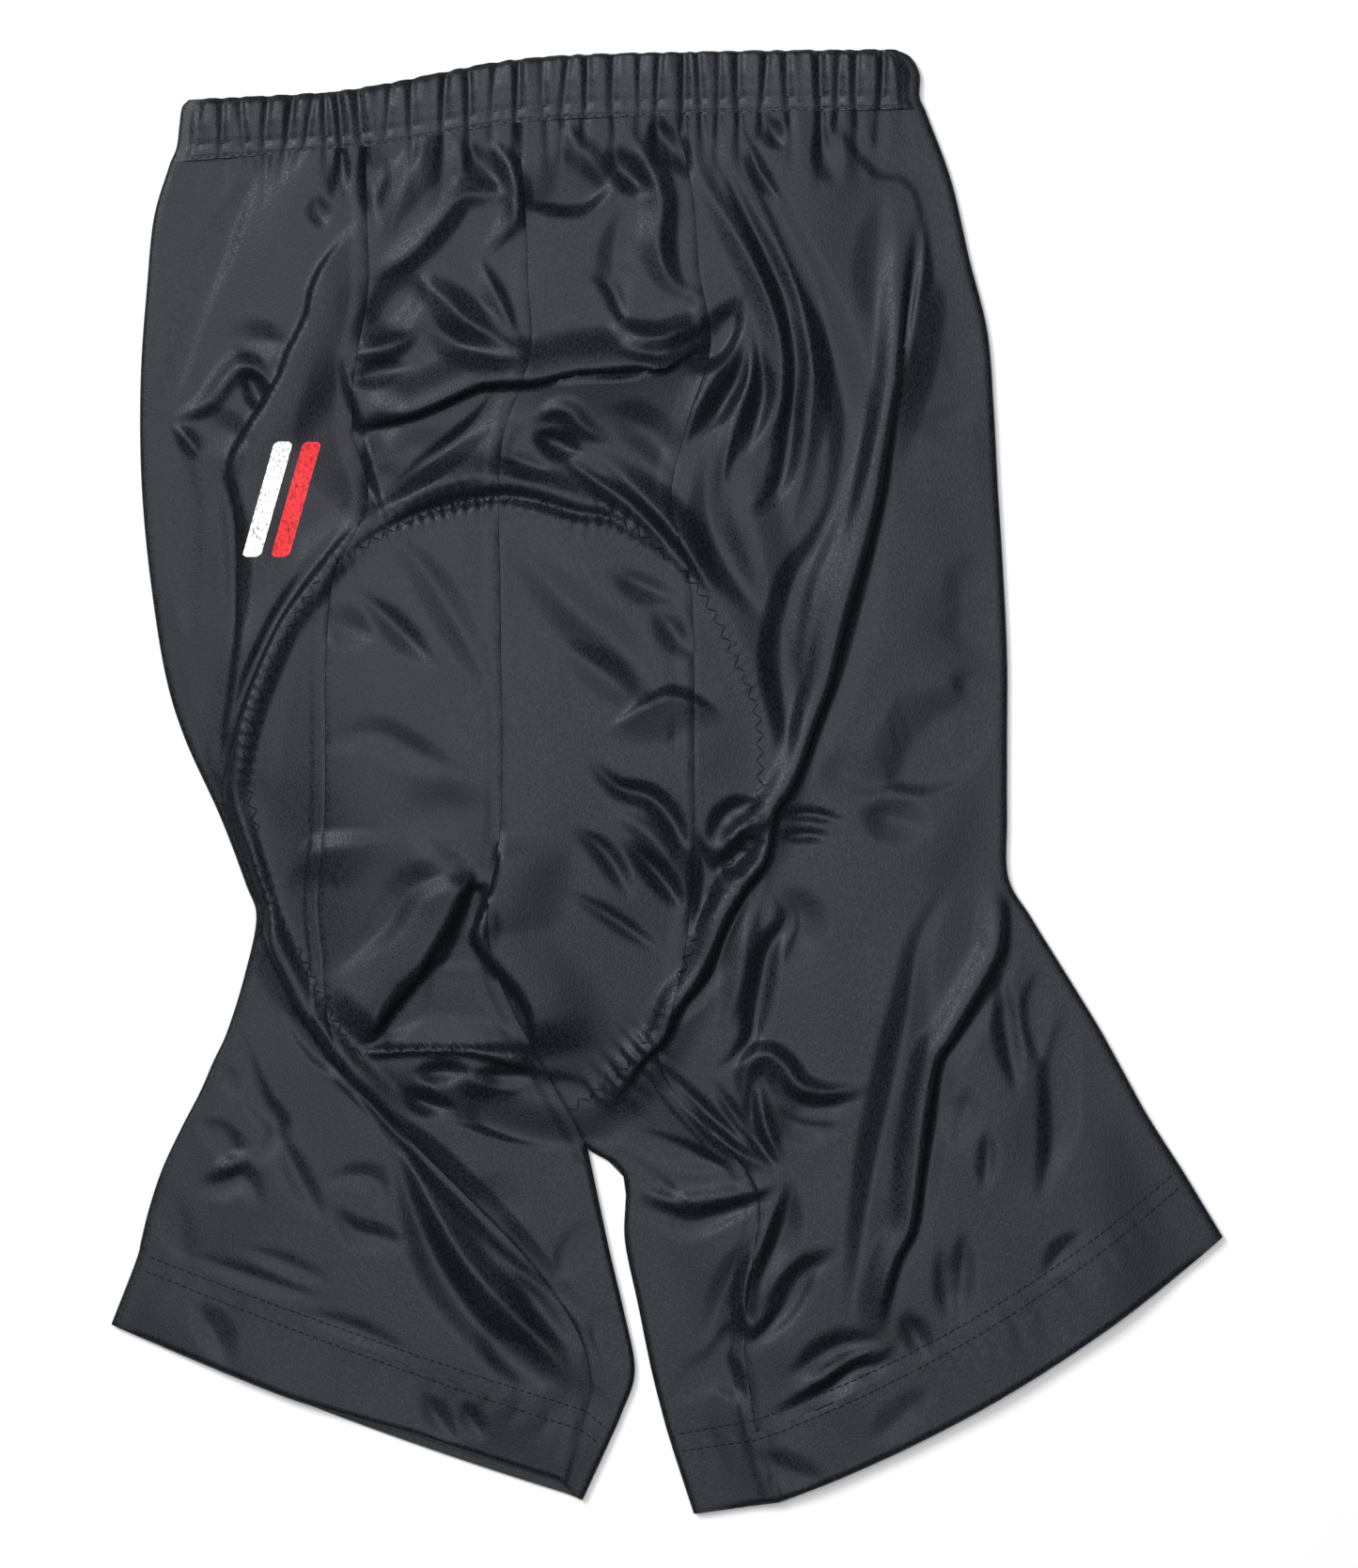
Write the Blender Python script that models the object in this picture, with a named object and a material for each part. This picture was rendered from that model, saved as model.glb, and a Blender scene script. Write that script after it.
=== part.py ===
"""Cycling shorts laid flat on their front, back side up.

Ten pieces: two centre back panels, two side panels that wrap round the hips and legs, two centre front panels
underneath, a gathered waist casing, two turned leg hems and the seat pad that lies between the layers.

The tables below are in millimetres: X runs to the garment's right side as it lies, Y towards the waist, Z up.
Each half of the garment is a stack of sections from the waist to the hem. A section runs from the folded outer
edge over the side seam to the centre, which is the centre seam above the crotch and the leg's inner edge below.
"""

import math
from collections import namedtuple

import bmesh
import bpy
import numpy as np

MM = 0.001

WALL = 1.2
BAND_WALL = 1.6
SEAM_GAP = 0.3
LAYER_GAP = 0.3
FOLD_RADIUS = 1.45
FOLD_TURNS = 5
ROW_STEP = 9.5
COLUMN_STEP = 9.5
UNDER_STEP = 24.0
FRONT_SHARE = 0.75
EDGE_COLUMNS_REACH = 9.0
MOST_SLOPE_ALLOWANCE = 1.25
LEAST_CROSSING_SINE = 0.4

SLACK = 2.2
EDGE_SLACK = 0.2
EDGE_REACH = 20.0
FOLD_REACH = 9.0
LEAST_SLACK = 0.1
SLACK_SOFTNESS = 0.5
FOLD_TAPER = 0.3

PAD_CENTRE = (-62.0, -5.0)
PAD_INSET = 4.0
PAD_EDGE = 1.5
PAD_RISE = 5.5
PAD_DOME_POWER = 2.4
PAD_CLEARANCE = 0.5
PAD_HOLD = 11.0
PAD_FALL = 20.0
PAD_EDGE_REACH = 7.0
PAD_SPOKES = 44
PAD_RINGS = (0.3, 0.55, 0.78, 0.92, 1.0)

Section = namedtuple("Section", "name outer seam centre bow")

LEFT_SECTIONS = (
    Section("waist", (-190, 237), (-115, 243), (-57, 252), 0),
    Section("below waist", (-196.2, 216), (-114.5, 217), (-54, 220), 0),
    Section("upper hip", (-199, 188), (-114, 188), (-53, 191.5), 0),
    Section("over tuck", (-201, 161), (-119, 159), (-52, 163), 0),
    Section("under tuck", (-201.5, 134), (-120, 134), (-62, 134), 0),
    Section("pad top", (-200.5, 107), (-114, 107), (-64, 107), 0),
    Section("upper seat", (-197.5, 77), (-127, 78), (-63.5, 78), 0),
    Section("mid seat", (-192, 42), (-130, 42), (-63, 42), 0),
    Section("lower seat", (-184.5, 17), (-130, 11.5), (-62.5, 11.5), 0),
    Section("under seat", (-170.7, -13.5), (-130.5, -17), (-63.5, -21), 0),
    Section("thigh top", (-161, -39), (-133, -46), (-68, -48), 0),
    Section("thigh notch", (-157, -52), (-131, -68), (-64, -75), 0),
    Section("thigh", (-161.5, -74), (-129.5, -89), (-51, -102), 0),
    Section("over crotch", (-168, -95), (-123, -109), (-39, -123.5), 0),
    Section("crotch", (-173.5, -107), (-111, -122.5), (-30, -140.5), 0),
    Section("leg top", (-178.5, -118.5), (-96, -139), (-26.5, -157), 0),
    Section("upper leg", (-186, -133), (-74, -161), (-21.5, -180.5), 0),
    Section("mid leg", (-193, -148), (-53, -183), (-16, -203.5), 0),
    Section("lower leg", (-198, -163), (-35, -208.5), (-12, -225.5), 0),
    Section("over hem", (-201, -175), (-29, -229.5), (-17, -241.5), 1),
    Section("hem row", (-203, -183), (-32, -245), (-22, -253), 1.5),
    Section("hem edge", (-212.5, -207.5), (-39, -272), (-32, -274.7), 2.7),
)

RIGHT_SECTIONS = (
    Section("waist", (99, 257.5), (4, 255), (-57, 252), 0),
    Section("below waist", (109, 230.5), (10, 224), (-54, 220), 0),
    Section("upper hip", (116, 200.5), (12.5, 195), (-53, 191.5), 0),
    Section("over tuck", (123, 172), (17, 167), (-52, 163), 0),
    Section("under tuck", (125.5, 141), (8, 137.5), (-62, 134), 0),
    Section("pad top", (127, 112), (2, 109), (-64, 107), 0),
    Section("upper seat", (129, 80), (9, 77), (-63.5, 78), 0),
    Section("mid seat", (130.5, 47.5), (10.5, 44), (-63, 42), 0),
    Section("lower seat", (130.5, 15), (10.5, 15), (-62.5, 11.5), 0),
    Section("under seat", (130.5, -13.5), (10.5, -17.5), (-63.5, -21), 0),
    Section("thigh top", (131, -36.5), (9.5, -44.5), (-68, -48), 0),
    Section("thigh notch", (139.5, -51.5), (6.5, -67.5), (-64, -75), 0),
    Section("thigh", (150, -68.5), (1.5, -89.5), (-51, -102), 1),
    Section("over crotch", (159, -83), (-3, -104.5), (-39, -123.5), 2),
    Section("crotch", (166, -94.5), (3, -118), (-30, -140.5), 3),
    Section("leg top", (171, -103.5), (18, -135), (-16.5, -151), 4),
    Section("upper leg", (177, -114.5), (35, -156), (-16, -175), 5),
    Section("mid leg", (183, -125.5), (33, -182), (-11, -199.5), 7),
    Section("lower leg", (189.5, -136), (30, -211), (-6, -224), 9),
    Section("over hem", (195, -144.5), (32, -233), (-1.5, -242), 9.5),
    Section("hem row", (198.5, -150), (35, -248.5), (2, -254), 9),
    Section("hem edge", (213, -174), (43, -275.5), (10.5, -280), 9.5),
)

CROTCH = 14
HEM_ROW = 20
HEM_EDGE = 21
HEM_LAYER_STEP = {"left": 4.0, "right": 0.0}
HEM_STEP_START = 0.35
HEM_STEP_END = 0.06

BandLevel = namedtuple("BandLevel", "name left left_seam centre right_seam right height gather")

WAIST_LEVELS = (
    BandLevel("lower row", (-190, 237), (-115, 243), (-57, 252), (4, 255), (99, 257.5), 4.9, 0.5),
    BandLevel("upper row", (-187.5, 243), (-117, 248), (-56.5, 257.5), (4.5, 261), (97, 262.5), 5.2, 0.8),
    BandLevel("middle", (-186.5, 251), (-119, 256), (-57, 267), (5.5, 270.5), (97, 271), 6.0, 1.1),
    BandLevel("upper", (-185.5, 258), (-120.5, 262), (-57, 274), (6.5, 278), (93.5, 277.5), 5.6, 1.1),
    BandLevel("top edge", (-183, 261), (-121, 265), (-57, 276.5), (6.5, 279.3), (88, 280.3), 4.4, 0.8),
)
WAIST_STEP = 2.0
WAIST_UNDER_STEP = 14.0
WAIST_END_SHARE = 0.03

Gather = namedtuple("Gather", "x depth half_width")

WAIST_GATHERS = (
    Gather(-179, 0.8, 2.5), Gather(-170, 0.9, 2.2), Gather(-161, 0.8, 2.0), Gather(-153, 1.0, 2.4),
    Gather(-145, 1.2, 2.6), Gather(-138, 0.9, 2.2), Gather(-130, 0.8, 2.2), Gather(-124.5, 1.4, 2.6),
    Gather(-116, 1.1, 3.0), Gather(-107, 0.7, 2.2), Gather(-97, 0.7, 2.4), Gather(-85, 1.1, 2.4),
    Gather(-75.5, 1.0, 2.2), Gather(-66, 0.8, 2.4), Gather(-57, 1.3, 2.4), Gather(-46, 0.8, 2.4),
    Gather(-39, 0.9, 2.2), Gather(-31, 1.0, 2.2), Gather(-20, 1.0, 2.6), Gather(-10, 0.7, 2.2),
    Gather(-3, 0.9, 2.2), Gather(6.5, 1.3, 2.4), Gather(13, 0.9, 2.2), Gather(20, 0.9, 2.2),
    Gather(28, 1.1, 2.4), Gather(37, 1.0, 2.2), Gather(47, 0.9, 2.4), Gather(59, 1.4, 2.8),
    Gather(66, 0.8, 2.2), Gather(73, 0.9, 2.4), Gather(83, 1.2, 2.2), Gather(90, 0.8, 2.0),
)

Fold = namedtuple("Fold", "name height left right path")

FOLDS = (
    Fold("tuck across the back", 3.2, 17, 9,
         ((-120, 134), (-95, 140), (-68, 151), (-44, 153), (-11, 157), (17, 168))),
    Fold("hollow under the tuck", -1.6, 9, 9, ((-112, 128), (-66, 140), (-40, 142), (-8, 146), (12, 156))),
    Fold("roll beside the pad's top left", 2.4, 10, 10,
         ((-59, 136), (-75, 124), (-92, 113), (-107, 103), (-122, 89), (-137, 72))),
    Fold("valley left of the pad", -2.4, 9, 9,
         ((-126, 89), (-141, 72), (-154, 49), (-163, 23), (-168, -5), (-160, -33), (-150, -64), (-135, -97),
          (-109, -124), (-83, -153), (-59, -175), (-39, -196))),
    Fold("slanting crease on the left hip", 2.4, 15, 9,
         ((-116, 220), (-135, 189), (-148, 155), (-165, 127), (-164, 84), (-165, 46), (-171, 2))),
    Fold("trough on the left hip", -1.4, 11, 11, ((-160, 232), (-169, 213), (-177, 198), (-185, 181))),
    Fold("long fold on the right hip", 3.2, 9, 15,
         ((96, 218), (89, 160), (83, 112), (67, 52), (52, 6), (38, -30), (23, -54), (6, -86), (-15, -117))),
    Fold("first fan trough", -1.6, 9, 9, ((45, 178), (48, 151), (43, 117), (30, 101))),
    Fold("fan ridge", 2.0, 9, 9, ((57, 172), (57, 141), (50, 100), (46, 70))),
    Fold("wide fan trough", -1.8, 11, 11, ((68, 164), (66, 121), (56, 81), (46, 35), (44, 4))),
    Fold("hip fold over the right leg", -2.4, 8, 11,
         ((126, -37), (127, -62), (117, -86), (102, -111), (98, -150), (89, -183), (83, -212))),
    Fold("ridge beside the hip fold", 2.0, 9, 10,
         ((118, -52), (105, -84), (91, -108), (87, -150), (78, -183), (73, -205))),
    Fold("roll down the left leg", 2.0, 9, 9, ((-88, -160), (-73, -182), (-53, -208), (-37, -234))),
    Fold("trough down the left leg", -1.6, 9, 9, ((-99, -152), (-84, -190), (-60, -224))),
    Fold("lens under the crotch", -1.8, 8, 8, ((-17, -133), (-4, -137), (8, -142), (22, -147))),
    Fold("crease on the right leg", -2.0, 8, 9, ((-8, -154), (8, -168), (38, -158))),
    Fold("ridge over that crease", 1.6, 8, 8, ((-2, -150), (14, -156), (34, -150))),
    Fold("hook below the right seat", 2.0, 9, 9, ((29, -118), (39, -104), (50, -113), (68, -117))),
    Fold("trough below the right seat", -1.5, 9, 9, ((45, -45), (36, -75), (26, -100))),
    Fold("trough under the waist, left", -1.4, 10, 10, ((-82, 246), (-92, 226), (-104, 205))),
    Fold("hollow under the waist, right", -1.4, 12, 12, ((-46, 238), (-36, 230), (-26, 220))),
    Fold("trough over the pad's right shoulder", -2.2, 8, 9, ((-46, 130), (-18, 108), (10, 77))),
    Fold("ridge over the pad's right shoulder", 2.0, 9, 8, ((-34, 132), (-6, 107), (20, 76))),
    Fold("trough on the seat, right", -1.4, 8, 8, ((-25, 6), (2, -20))),
    Fold("lower trough on the seat", -1.6, 8, 8, ((-17, -24), (12, -55))),
    Fold("left flap at the pad's foot", 1.8, 9, 8, ((-71, -35), (-88, -64), (-114, -98))),
    Fold("right flap at the pad's foot", 1.8, 8, 9, ((-66, -38), (-66, -66), (-50, -98))),
    Fold("hollow at the pad's foot", -2.2, 10, 10, ((-77, -60), (-81, -96))),
    Fold("shadow line under the pad's foot", -1.6, 8, 8, ((-97, -120), (-72, -130), (-42, -134))),
    Fold("crease over the left hem", -1.0, 9, 9, ((-196, -172), (-160, -186), (-120, -196))),
    Fold("crease over the right hem", -1.4, 9, 9, ((74, -220), (58, -232), (45, -240))),
)

PAD_OUTLINE = (
    (-68, 107.5), (-40, 103), (-12, 97), (10, 77), (23.5, 53), (35.5, 22), (34.5, -9), (16, -45), (7, -70),
    (-4, -94), (-21, -112), (-40, -120), (-78, -108), (-114, -101), (-132, -78), (-148, -51), (-157, -14),
    (-160, 6), (-156, 31), (-147, 54), (-132, 77), (-110, 92), (-88, 104),
)

CLOTH_COLOUR = (0.018, 0.020, 0.024, 1.0)
CASING_COLOUR = (0.020, 0.022, 0.026, 1.0)
PAD_COLOUR = (0.030, 0.031, 0.034, 1.0)


def clear_scene():
    for old in list(bpy.data.objects):
        bpy.data.objects.remove(old, do_unlink=True)


def cloth_material(name, colour, roughness):
    material = bpy.data.materials.new(name)
    material.use_nodes = True
    shader = material.node_tree.nodes["Principled BSDF"]
    shader.inputs["Base Color"].default_value = colour
    shader.inputs["Roughness"].default_value = roughness
    shader.inputs["Metallic"].default_value = 0.0
    return material


def ease(value):
    """0 below 0, 1 above 1 and smooth between."""
    value = np.clip(value, 0.0, 1.0)
    return value * value * (3.0 - 2.0 * value)


def smooth_curve(points, at):
    """Points of a Catmull-Rom curve: position 2.5 is half way from the third point to the fourth."""
    points = np.asarray(points, float)
    padded = np.vstack([2 * points[0] - points[1], points, 2 * points[-1] - points[-2]])
    at = np.asarray(at, float)
    start = np.clip(at.astype(int), 0, len(points) - 2)
    part = (at - start)[:, None]
    before, first, second, after = (padded[start + step] for step in range(4))
    return 0.5 * (
        2 * first
        + (second - before) * part
        + (2 * before - 5 * first + 4 * second - after) * part**2
        + (3 * first - 3 * second + after - before) * part**3
    )


def column(sections, name, levels):
    """One column of the section table along the garment. The centre turns a corner at the crotch."""
    values = np.array([getattr(section, name) for section in sections], float)
    if values.ndim == 1:
        return np.interp(levels, range(len(values)), values)
    if name != "centre":
        return smooth_curve(values, levels)
    body = smooth_curve(values[: CROTCH + 1], np.minimum(levels, CROTCH))
    leg = smooth_curve(values[CROTCH:], np.maximum(levels - CROTCH, 0))
    return np.where((levels <= CROTCH)[:, None], body, leg)


def length_along(path):
    steps = np.hypot(*np.diff(path, axis=0).T)
    return np.concatenate([[0.0], np.cumsum(steps)])


def section_levels(first, last):
    """Levels about ROW_STEP apart, the same for both halves so that they meet along the centre seam."""
    levels = [float(first)]
    for start in range(first, last):
        ends = np.array([start, start + 1.0])
        spans = [
            float(np.hypot(*np.diff(column(table, name, ends), axis=0)[0]))
            for table in (LEFT_SECTIONS, RIGHT_SECTIONS)
            for name in ("outer", "centre")
        ]
        count = max(1, round(sum(spans) / len(spans) / ROW_STEP))
        levels += [start + (step + 1) / count for step in range(count)]
    return np.array(levels)


class Half:
    """One half of the garment in plan."""

    def __init__(self, sections, levels):
        self.outer = column(sections, "outer", levels)
        self.seam = column(sections, "seam", levels)
        self.centre = column(sections, "centre", levels)
        self.bow = column(sections, "bow", levels)
        self.side_width = np.hypot(*(self.seam - self.outer).T)
        self.centre_width = np.hypot(*(self.centre - self.seam).T)
        self.width = self.side_width + self.centre_width
        self.seam_gap = self.gap_at(self.seam, self.seam - self.outer)
        self.centre_gap = self.gap_at(self.centre, self.centre - self.seam)

    def gap_at(self, line, across):
        """Half the seam gap, measured along a section that crosses the seam line at a slant."""
        along = np.gradient(line, axis=0)
        turn = along[:, 0] * across[:, 1] - along[:, 1] * across[:, 0]
        sine = np.abs(turn) / (np.hypot(*along.T) * np.hypot(*across.T))
        return 0.5 * SEAM_GAP / np.maximum(sine, LEAST_CROSSING_SINE)

    def plan(self, distance):
        """X and Y of points at a distance from the outer edge: one row of distances for each section."""
        share = np.clip(distance / self.side_width[:, None], 0.0, 1.0)[..., None]
        chord = (self.seam - self.outer)[:, None]
        normal = np.stack([chord[..., 1], -chord[..., 0]], axis=-1)
        normal = normal / np.hypot(chord[..., 0], chord[..., 1])[..., None]
        normal = np.where(normal[..., 1:] > 0, -normal, normal)
        side = self.outer[:, None] + share * chord + 4 * share * (1 - share) * normal * self.bow[:, None, None]
        over = np.clip((distance - self.side_width[:, None]) / self.centre_width[:, None], 0.0, 1.0)[..., None]
        centre = over * (self.centre - self.seam)[:, None]
        return side + centre


def away_from(path, points):
    """Distance of each point from a path, how far along it the nearest place is, and the side it lies on."""
    path = np.asarray(path, float)
    start = path[:-1]
    step = path[1:] - start
    size = np.hypot(*step.T)
    offset = points[..., None, :] - start
    share = np.clip((offset * step).sum(-1) / size**2, 0.0, 1.0)
    miss = offset - share[..., None] * step
    distance = np.hypot(miss[..., 0], miss[..., 1])
    nearest = distance.argmin(axis=-1)[..., None]
    turn = step[..., 0] * offset[..., 1] - step[..., 1] * offset[..., 0]
    travelled = length_along(path)[:-1] + share * size
    picked = [np.take_along_axis(values, nearest, axis=-1)[..., 0] for values in (distance, travelled, turn)]
    return picked[0], picked[1], picked[2] > 0


def fold_heights(points):
    """Sum of the folds: each rises to its height on its path and dies away over its own width on either side."""
    total = np.zeros(points.shape[:-1])
    for fold in FOLDS:
        path = smooth_curve(fold.path, np.linspace(0, len(fold.path) - 1, 4 * len(fold.path)))
        distance, travelled, on_left = away_from(path, points)
        half_width = np.where(on_left, fold.left, fold.right)
        across = np.clip(1 - (distance / half_width) ** 2, 0.0, 1.0) ** 2
        full = length_along(path)[-1]
        to_end = np.minimum(travelled, full - travelled)
        taper = ease((to_end / FOLD_TAPER + fold.right) / full)
        total += fold.height * across * taper
    return total


def outline_paths():
    """The folded outer edges and the inner edges of the legs, as paths."""
    whole = np.linspace(0, HEM_EDGE, 8 * HEM_EDGE + 1)
    legs = np.linspace(CROTCH, HEM_EDGE, 8 * (HEM_EDGE - CROTCH) + 1)
    tables = (LEFT_SECTIONS, RIGHT_SECTIONS)
    outer = [column(table, "outer", whole) for table in tables]
    return outer + [column(table, "centre", legs) for table in tables]


def pad_outline():
    closed = PAD_OUTLINE[-1:] + PAD_OUTLINE + PAD_OUTLINE[:2]
    at = np.linspace(1, len(PAD_OUTLINE) + 1, 8 * len(PAD_OUTLINE), endpoint=False)
    return smooth_curve(closed, at)


def pad_radius(angles):
    """How far the pad reaches from its centre in each direction."""
    reach = pad_outline() - PAD_CENTRE
    heading = np.arctan2(reach[:, 1], reach[:, 0])
    order = np.argsort(heading)
    radius = np.hypot(*reach.T)[order] - PAD_INSET
    return np.interp(angles, heading[order], radius, period=2 * math.pi)


def pad_top(share):
    """Height of the pad's upper face: a dome over a thin edge."""
    share = np.clip(share, 0.0, 1.0)
    return WALL + LAYER_GAP + PAD_EDGE + PAD_RISE * (1 - share**PAD_DOME_POWER)


def underlay(points, edge_distance):
    """Height of what the upper cloth rests on: the lower cloth, or the pad with a skirt of air round it."""
    reach = points - PAD_CENTRE
    radius = pad_radius(np.arctan2(reach[..., 1], reach[..., 0]))
    distance = np.hypot(reach[..., 0], reach[..., 1])
    beyond = (distance - radius - PAD_HOLD) / PAD_FALL
    lower = WALL + LAYER_GAP
    raised = pad_top(distance / radius) + PAD_CLEARANCE - lower
    return lower + raised * (1 - ease(beyond)) * ease(edge_distance / PAD_EDGE_REACH)


def cloth_top(points):
    """Height of the upper cloth's outer face."""
    edge_distance = np.min([away_from(path, points)[0] for path in outline_paths()], axis=0)
    rest = underlay(points, edge_distance) + WALL
    slack = EDGE_SLACK + SLACK * ease(edge_distance / EDGE_REACH)
    loose = slack + fold_heights(points) * ease(edge_distance / FOLD_REACH)
    spare = 0.5 * (loose + LEAST_SLACK + np.sqrt((loose - LEAST_SLACK) ** 2 + SLACK_SOFTNESS))
    near_edge = ease(edge_distance / EDGE_REACH)
    return rest + near_edge * spare + (1 - near_edge) * slack


def spaced(first, last, count):
    """Rows of values from one array to another."""
    share = np.linspace(0.0, 1.0, count)
    return first[:, None] + share * (last - first)[:, None]


def columns_over_seam(first, seam, last, step):
    """Rows of values from first to last, with one on the seam, where a section turns a slight corner."""
    parts = [spaced(start, end, 1 + max(1, round(float((end - start).mean()) / step)))
             for start, end in ((first, seam), (seam, last))]
    return np.hstack([parts[0], parts[1][:, 1:]])


def with_height(plan, height):
    return np.dstack([plan, np.broadcast_to(height, plan.shape[:-1])])


def upper_skins(plan):
    """Outer and inner face of the upper cloth. The inner face keeps the wall's thickness on a slope."""
    top = cloth_top(plan)
    steep = np.hypot(*[slope_of(plan, top, axis) for axis in (0, 1)])
    drop = WALL * np.minimum(np.sqrt(1 + steep**2), MOST_SLOPE_ALLOWANCE)
    edge_distance = np.min([away_from(path, plan)[0] for path in outline_paths()], axis=0)
    inner = np.maximum(top - drop, underlay(plan, edge_distance))
    return with_height(plan, top), with_height(plan, inner)


def slope_of(plan, top, axis):
    run = np.gradient(plan, axis=axis)
    return np.gradient(top, axis=axis) / np.maximum(np.hypot(run[..., 0], run[..., 1]), 1e-6)


def add_wall(name, outer, inner, closed, material):
    """A closed cloth wall from its two faces, each a grid of points. A closed one joins its last column to its first."""
    rows, columns = outer.shape[:2]
    vertices = np.concatenate([outer.reshape(-1, 3), inner.reshape(-1, 3)]) * MM
    skin = rows * columns

    def corner(row, turn, face):
        return face * skin + row * columns + turn % columns

    faces = []
    for row in range(rows - 1):
        for turn in range(columns if closed else columns - 1):
            for face in (0, 1):
                ring = [
                    corner(row, turn, face),
                    corner(row, turn + 1, face),
                    corner(row + 1, turn + 1, face),
                    corner(row + 1, turn, face),
                ]
                faces += [ring[:3], [ring[0], ring[2], ring[3]]]
    borders = [[(row, turn), (row, turn + 1)] for row in (0, rows - 1)
               for turn in range(columns if closed else columns - 1)]
    if not closed:
        borders += [[(row, turn), (row + 1, turn)] for turn in (0, columns - 1) for row in range(rows - 1)]
    for first, second in borders:
        faces.append([corner(*first, 0), corner(*second, 0), corner(*second, 1), corner(*first, 1)])
    return add_mesh(name, vertices, faces, material)


def add_mesh(name, vertices, faces, material):
    mesh = bpy.data.meshes.new(name)
    mesh.from_pydata([tuple(point) for point in vertices], [], faces)
    work = bmesh.new()
    work.from_mesh(mesh)
    bmesh.ops.recalc_face_normals(work, faces=work.faces)
    work.to_mesh(mesh)
    work.free()
    mesh.materials.append(material)
    mesh.shade_smooth()
    piece = bpy.data.objects.new(name, mesh)
    bpy.context.scene.collection.objects.link(piece)
    return piece


def off_the_band(plan):
    """Moves a piece's first row off the band or panel that it is sewn to."""
    plan = plan.copy()
    plan[0, :, 1] -= SEAM_GAP
    return plan


def outer_fold(half, top):
    """The turn of the cloth round the outer edge: outer and inner face, from the lower layer up to the upper one."""
    angles = np.linspace(-90, 90, FOLD_TURNS) * math.pi / 180
    faces = []
    for thickness in (0.0, WALL):
        reach = FOLD_RADIUS - thickness
        distance = FOLD_RADIUS - reach * np.cos(angles)
        plan = off_the_band(half.plan(np.broadcast_to(distance, (len(top), FOLD_TURNS))))
        middle = 0.5 * top[:, None]
        height = middle + (middle - thickness) * np.sin(angles)
        faces.append(with_height(plan, height))
    return faces


def side_panel(name, half, material):
    """Wraps round the outer edge: the lower layer from the front seam, the turn, then the upper layer."""
    columns = 1 + round(float(half.side_width.mean()) / COLUMN_STEP)
    fold = np.full(len(half.outer), FOLD_RADIUS)
    front = FRONT_SHARE * half.side_width - 0.5 * SEAM_GAP
    nearby = spaced(fold, fold + EDGE_COLUMNS_REACH, 3)[:, 1:]
    flat = spaced(nearby[:, -1], half.side_width - half.seam_gap, columns)[:, 1:]
    upper_plan = off_the_band(half.plan(np.hstack([fold[:, None], nearby, flat])))
    under_columns = 2 + round(float(front.mean()) / UNDER_STEP)
    lower_plan = off_the_band(half.plan(spaced(front, fold, under_columns)))
    upper_outer, upper_inner = upper_skins(upper_plan)
    turn_outer, turn_inner = outer_fold(half, upper_outer[:, 0, 2])
    lower_outer = with_height(lower_plan, 0.0)
    lower_inner = with_height(lower_plan, WALL)
    upper_inner[:, 0, 2] = turn_inner[:, -1, 2]
    outer = np.hstack([lower_outer[:, :-1], turn_outer, upper_outer[:, 1:]])
    inner = np.hstack([lower_inner[:, :-1], turn_inner, upper_inner[:, 1:]])
    return add_wall(name, outer, inner, False, material)


def back_panel(name, half, material):
    columns = 1 + round(float(half.centre_width.mean()) / COLUMN_STEP)
    distance = spaced(half.side_width + half.seam_gap, half.width - half.centre_gap, columns)
    outer, inner = upper_skins(off_the_band(half.plan(distance)))
    return add_wall(name, outer, inner, False, material)


def front_panel(name, half, material):
    front = FRONT_SHARE * half.side_width + 0.5 * SEAM_GAP
    distance = columns_over_seam(front, half.side_width, half.width - half.centre_gap, UNDER_STEP)
    plan = off_the_band(half.plan(distance))
    return add_wall(name, with_height(plan, 0.0), with_height(plan, WALL), False, material)


def hem_band(name, half, layer_step, material):
    """A flat ring: the upper layer from the outer edge to the inner edge, and the lower layer back again."""
    fold = np.full(len(half.outer), FOLD_RADIUS + BAND_WALL - WALL)
    distance = columns_over_seam(fold, half.side_width, half.width - fold, COLUMN_STEP)
    share = distance[-1] / half.width[-1]
    plan = off_the_band(half.plan(distance))
    upper_plan = plan.copy()
    upper_plan[-1, :, 1] += layer_step * ease(share / HEM_STEP_START - 1) * ease((1 - share) / HEM_STEP_END)
    top = np.maximum(cloth_top(upper_plan), 2 * BAND_WALL + LAYER_GAP)
    rows = []
    for thickness in (0.0, BAND_WALL):
        upper = with_height(upper_plan, top - thickness)
        lower = with_height(plan[:, ::-1], thickness)
        ends = [
            band_end(plan[:, edge], edge_line, top[:, edge], thickness)
            for edge, edge_line in ((-1, half.centre), (0, half.outer))
        ]
        rows.append(np.hstack([upper, ends[0], lower, ends[1][:, ::-1]]))
    return add_wall(name, rows[0], rows[1], True, material)


def band_end(start, edge_line, top, thickness):
    """The turn at one end of a ring's flat section, from the upper layer down to the lower one."""
    shifted = edge_line.copy()
    shifted[0, 1] -= SEAM_GAP
    reach = shifted - start
    angles = np.linspace(90, -90, FOLD_TURNS)[1:-1] * math.pi / 180
    whole = np.hypot(*reach.T)[:, None]
    kept = (whole - thickness) / whole
    plan = start[:, None] + (reach * kept)[:, None] * np.cos(angles)[:, None]
    middle = 0.5 * top[:, None]
    return with_height(plan, middle + (middle - thickness) * np.sin(angles))


def gathered(x):
    """Depth of the waist gathers along the band: a groove at each one."""
    total = np.zeros_like(x)
    for gather in WAIST_GATHERS:
        total += gather.depth * np.clip(1 - ((x - gather.x) / gather.half_width) ** 2, 0.0, 1.0)
    return total


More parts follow.
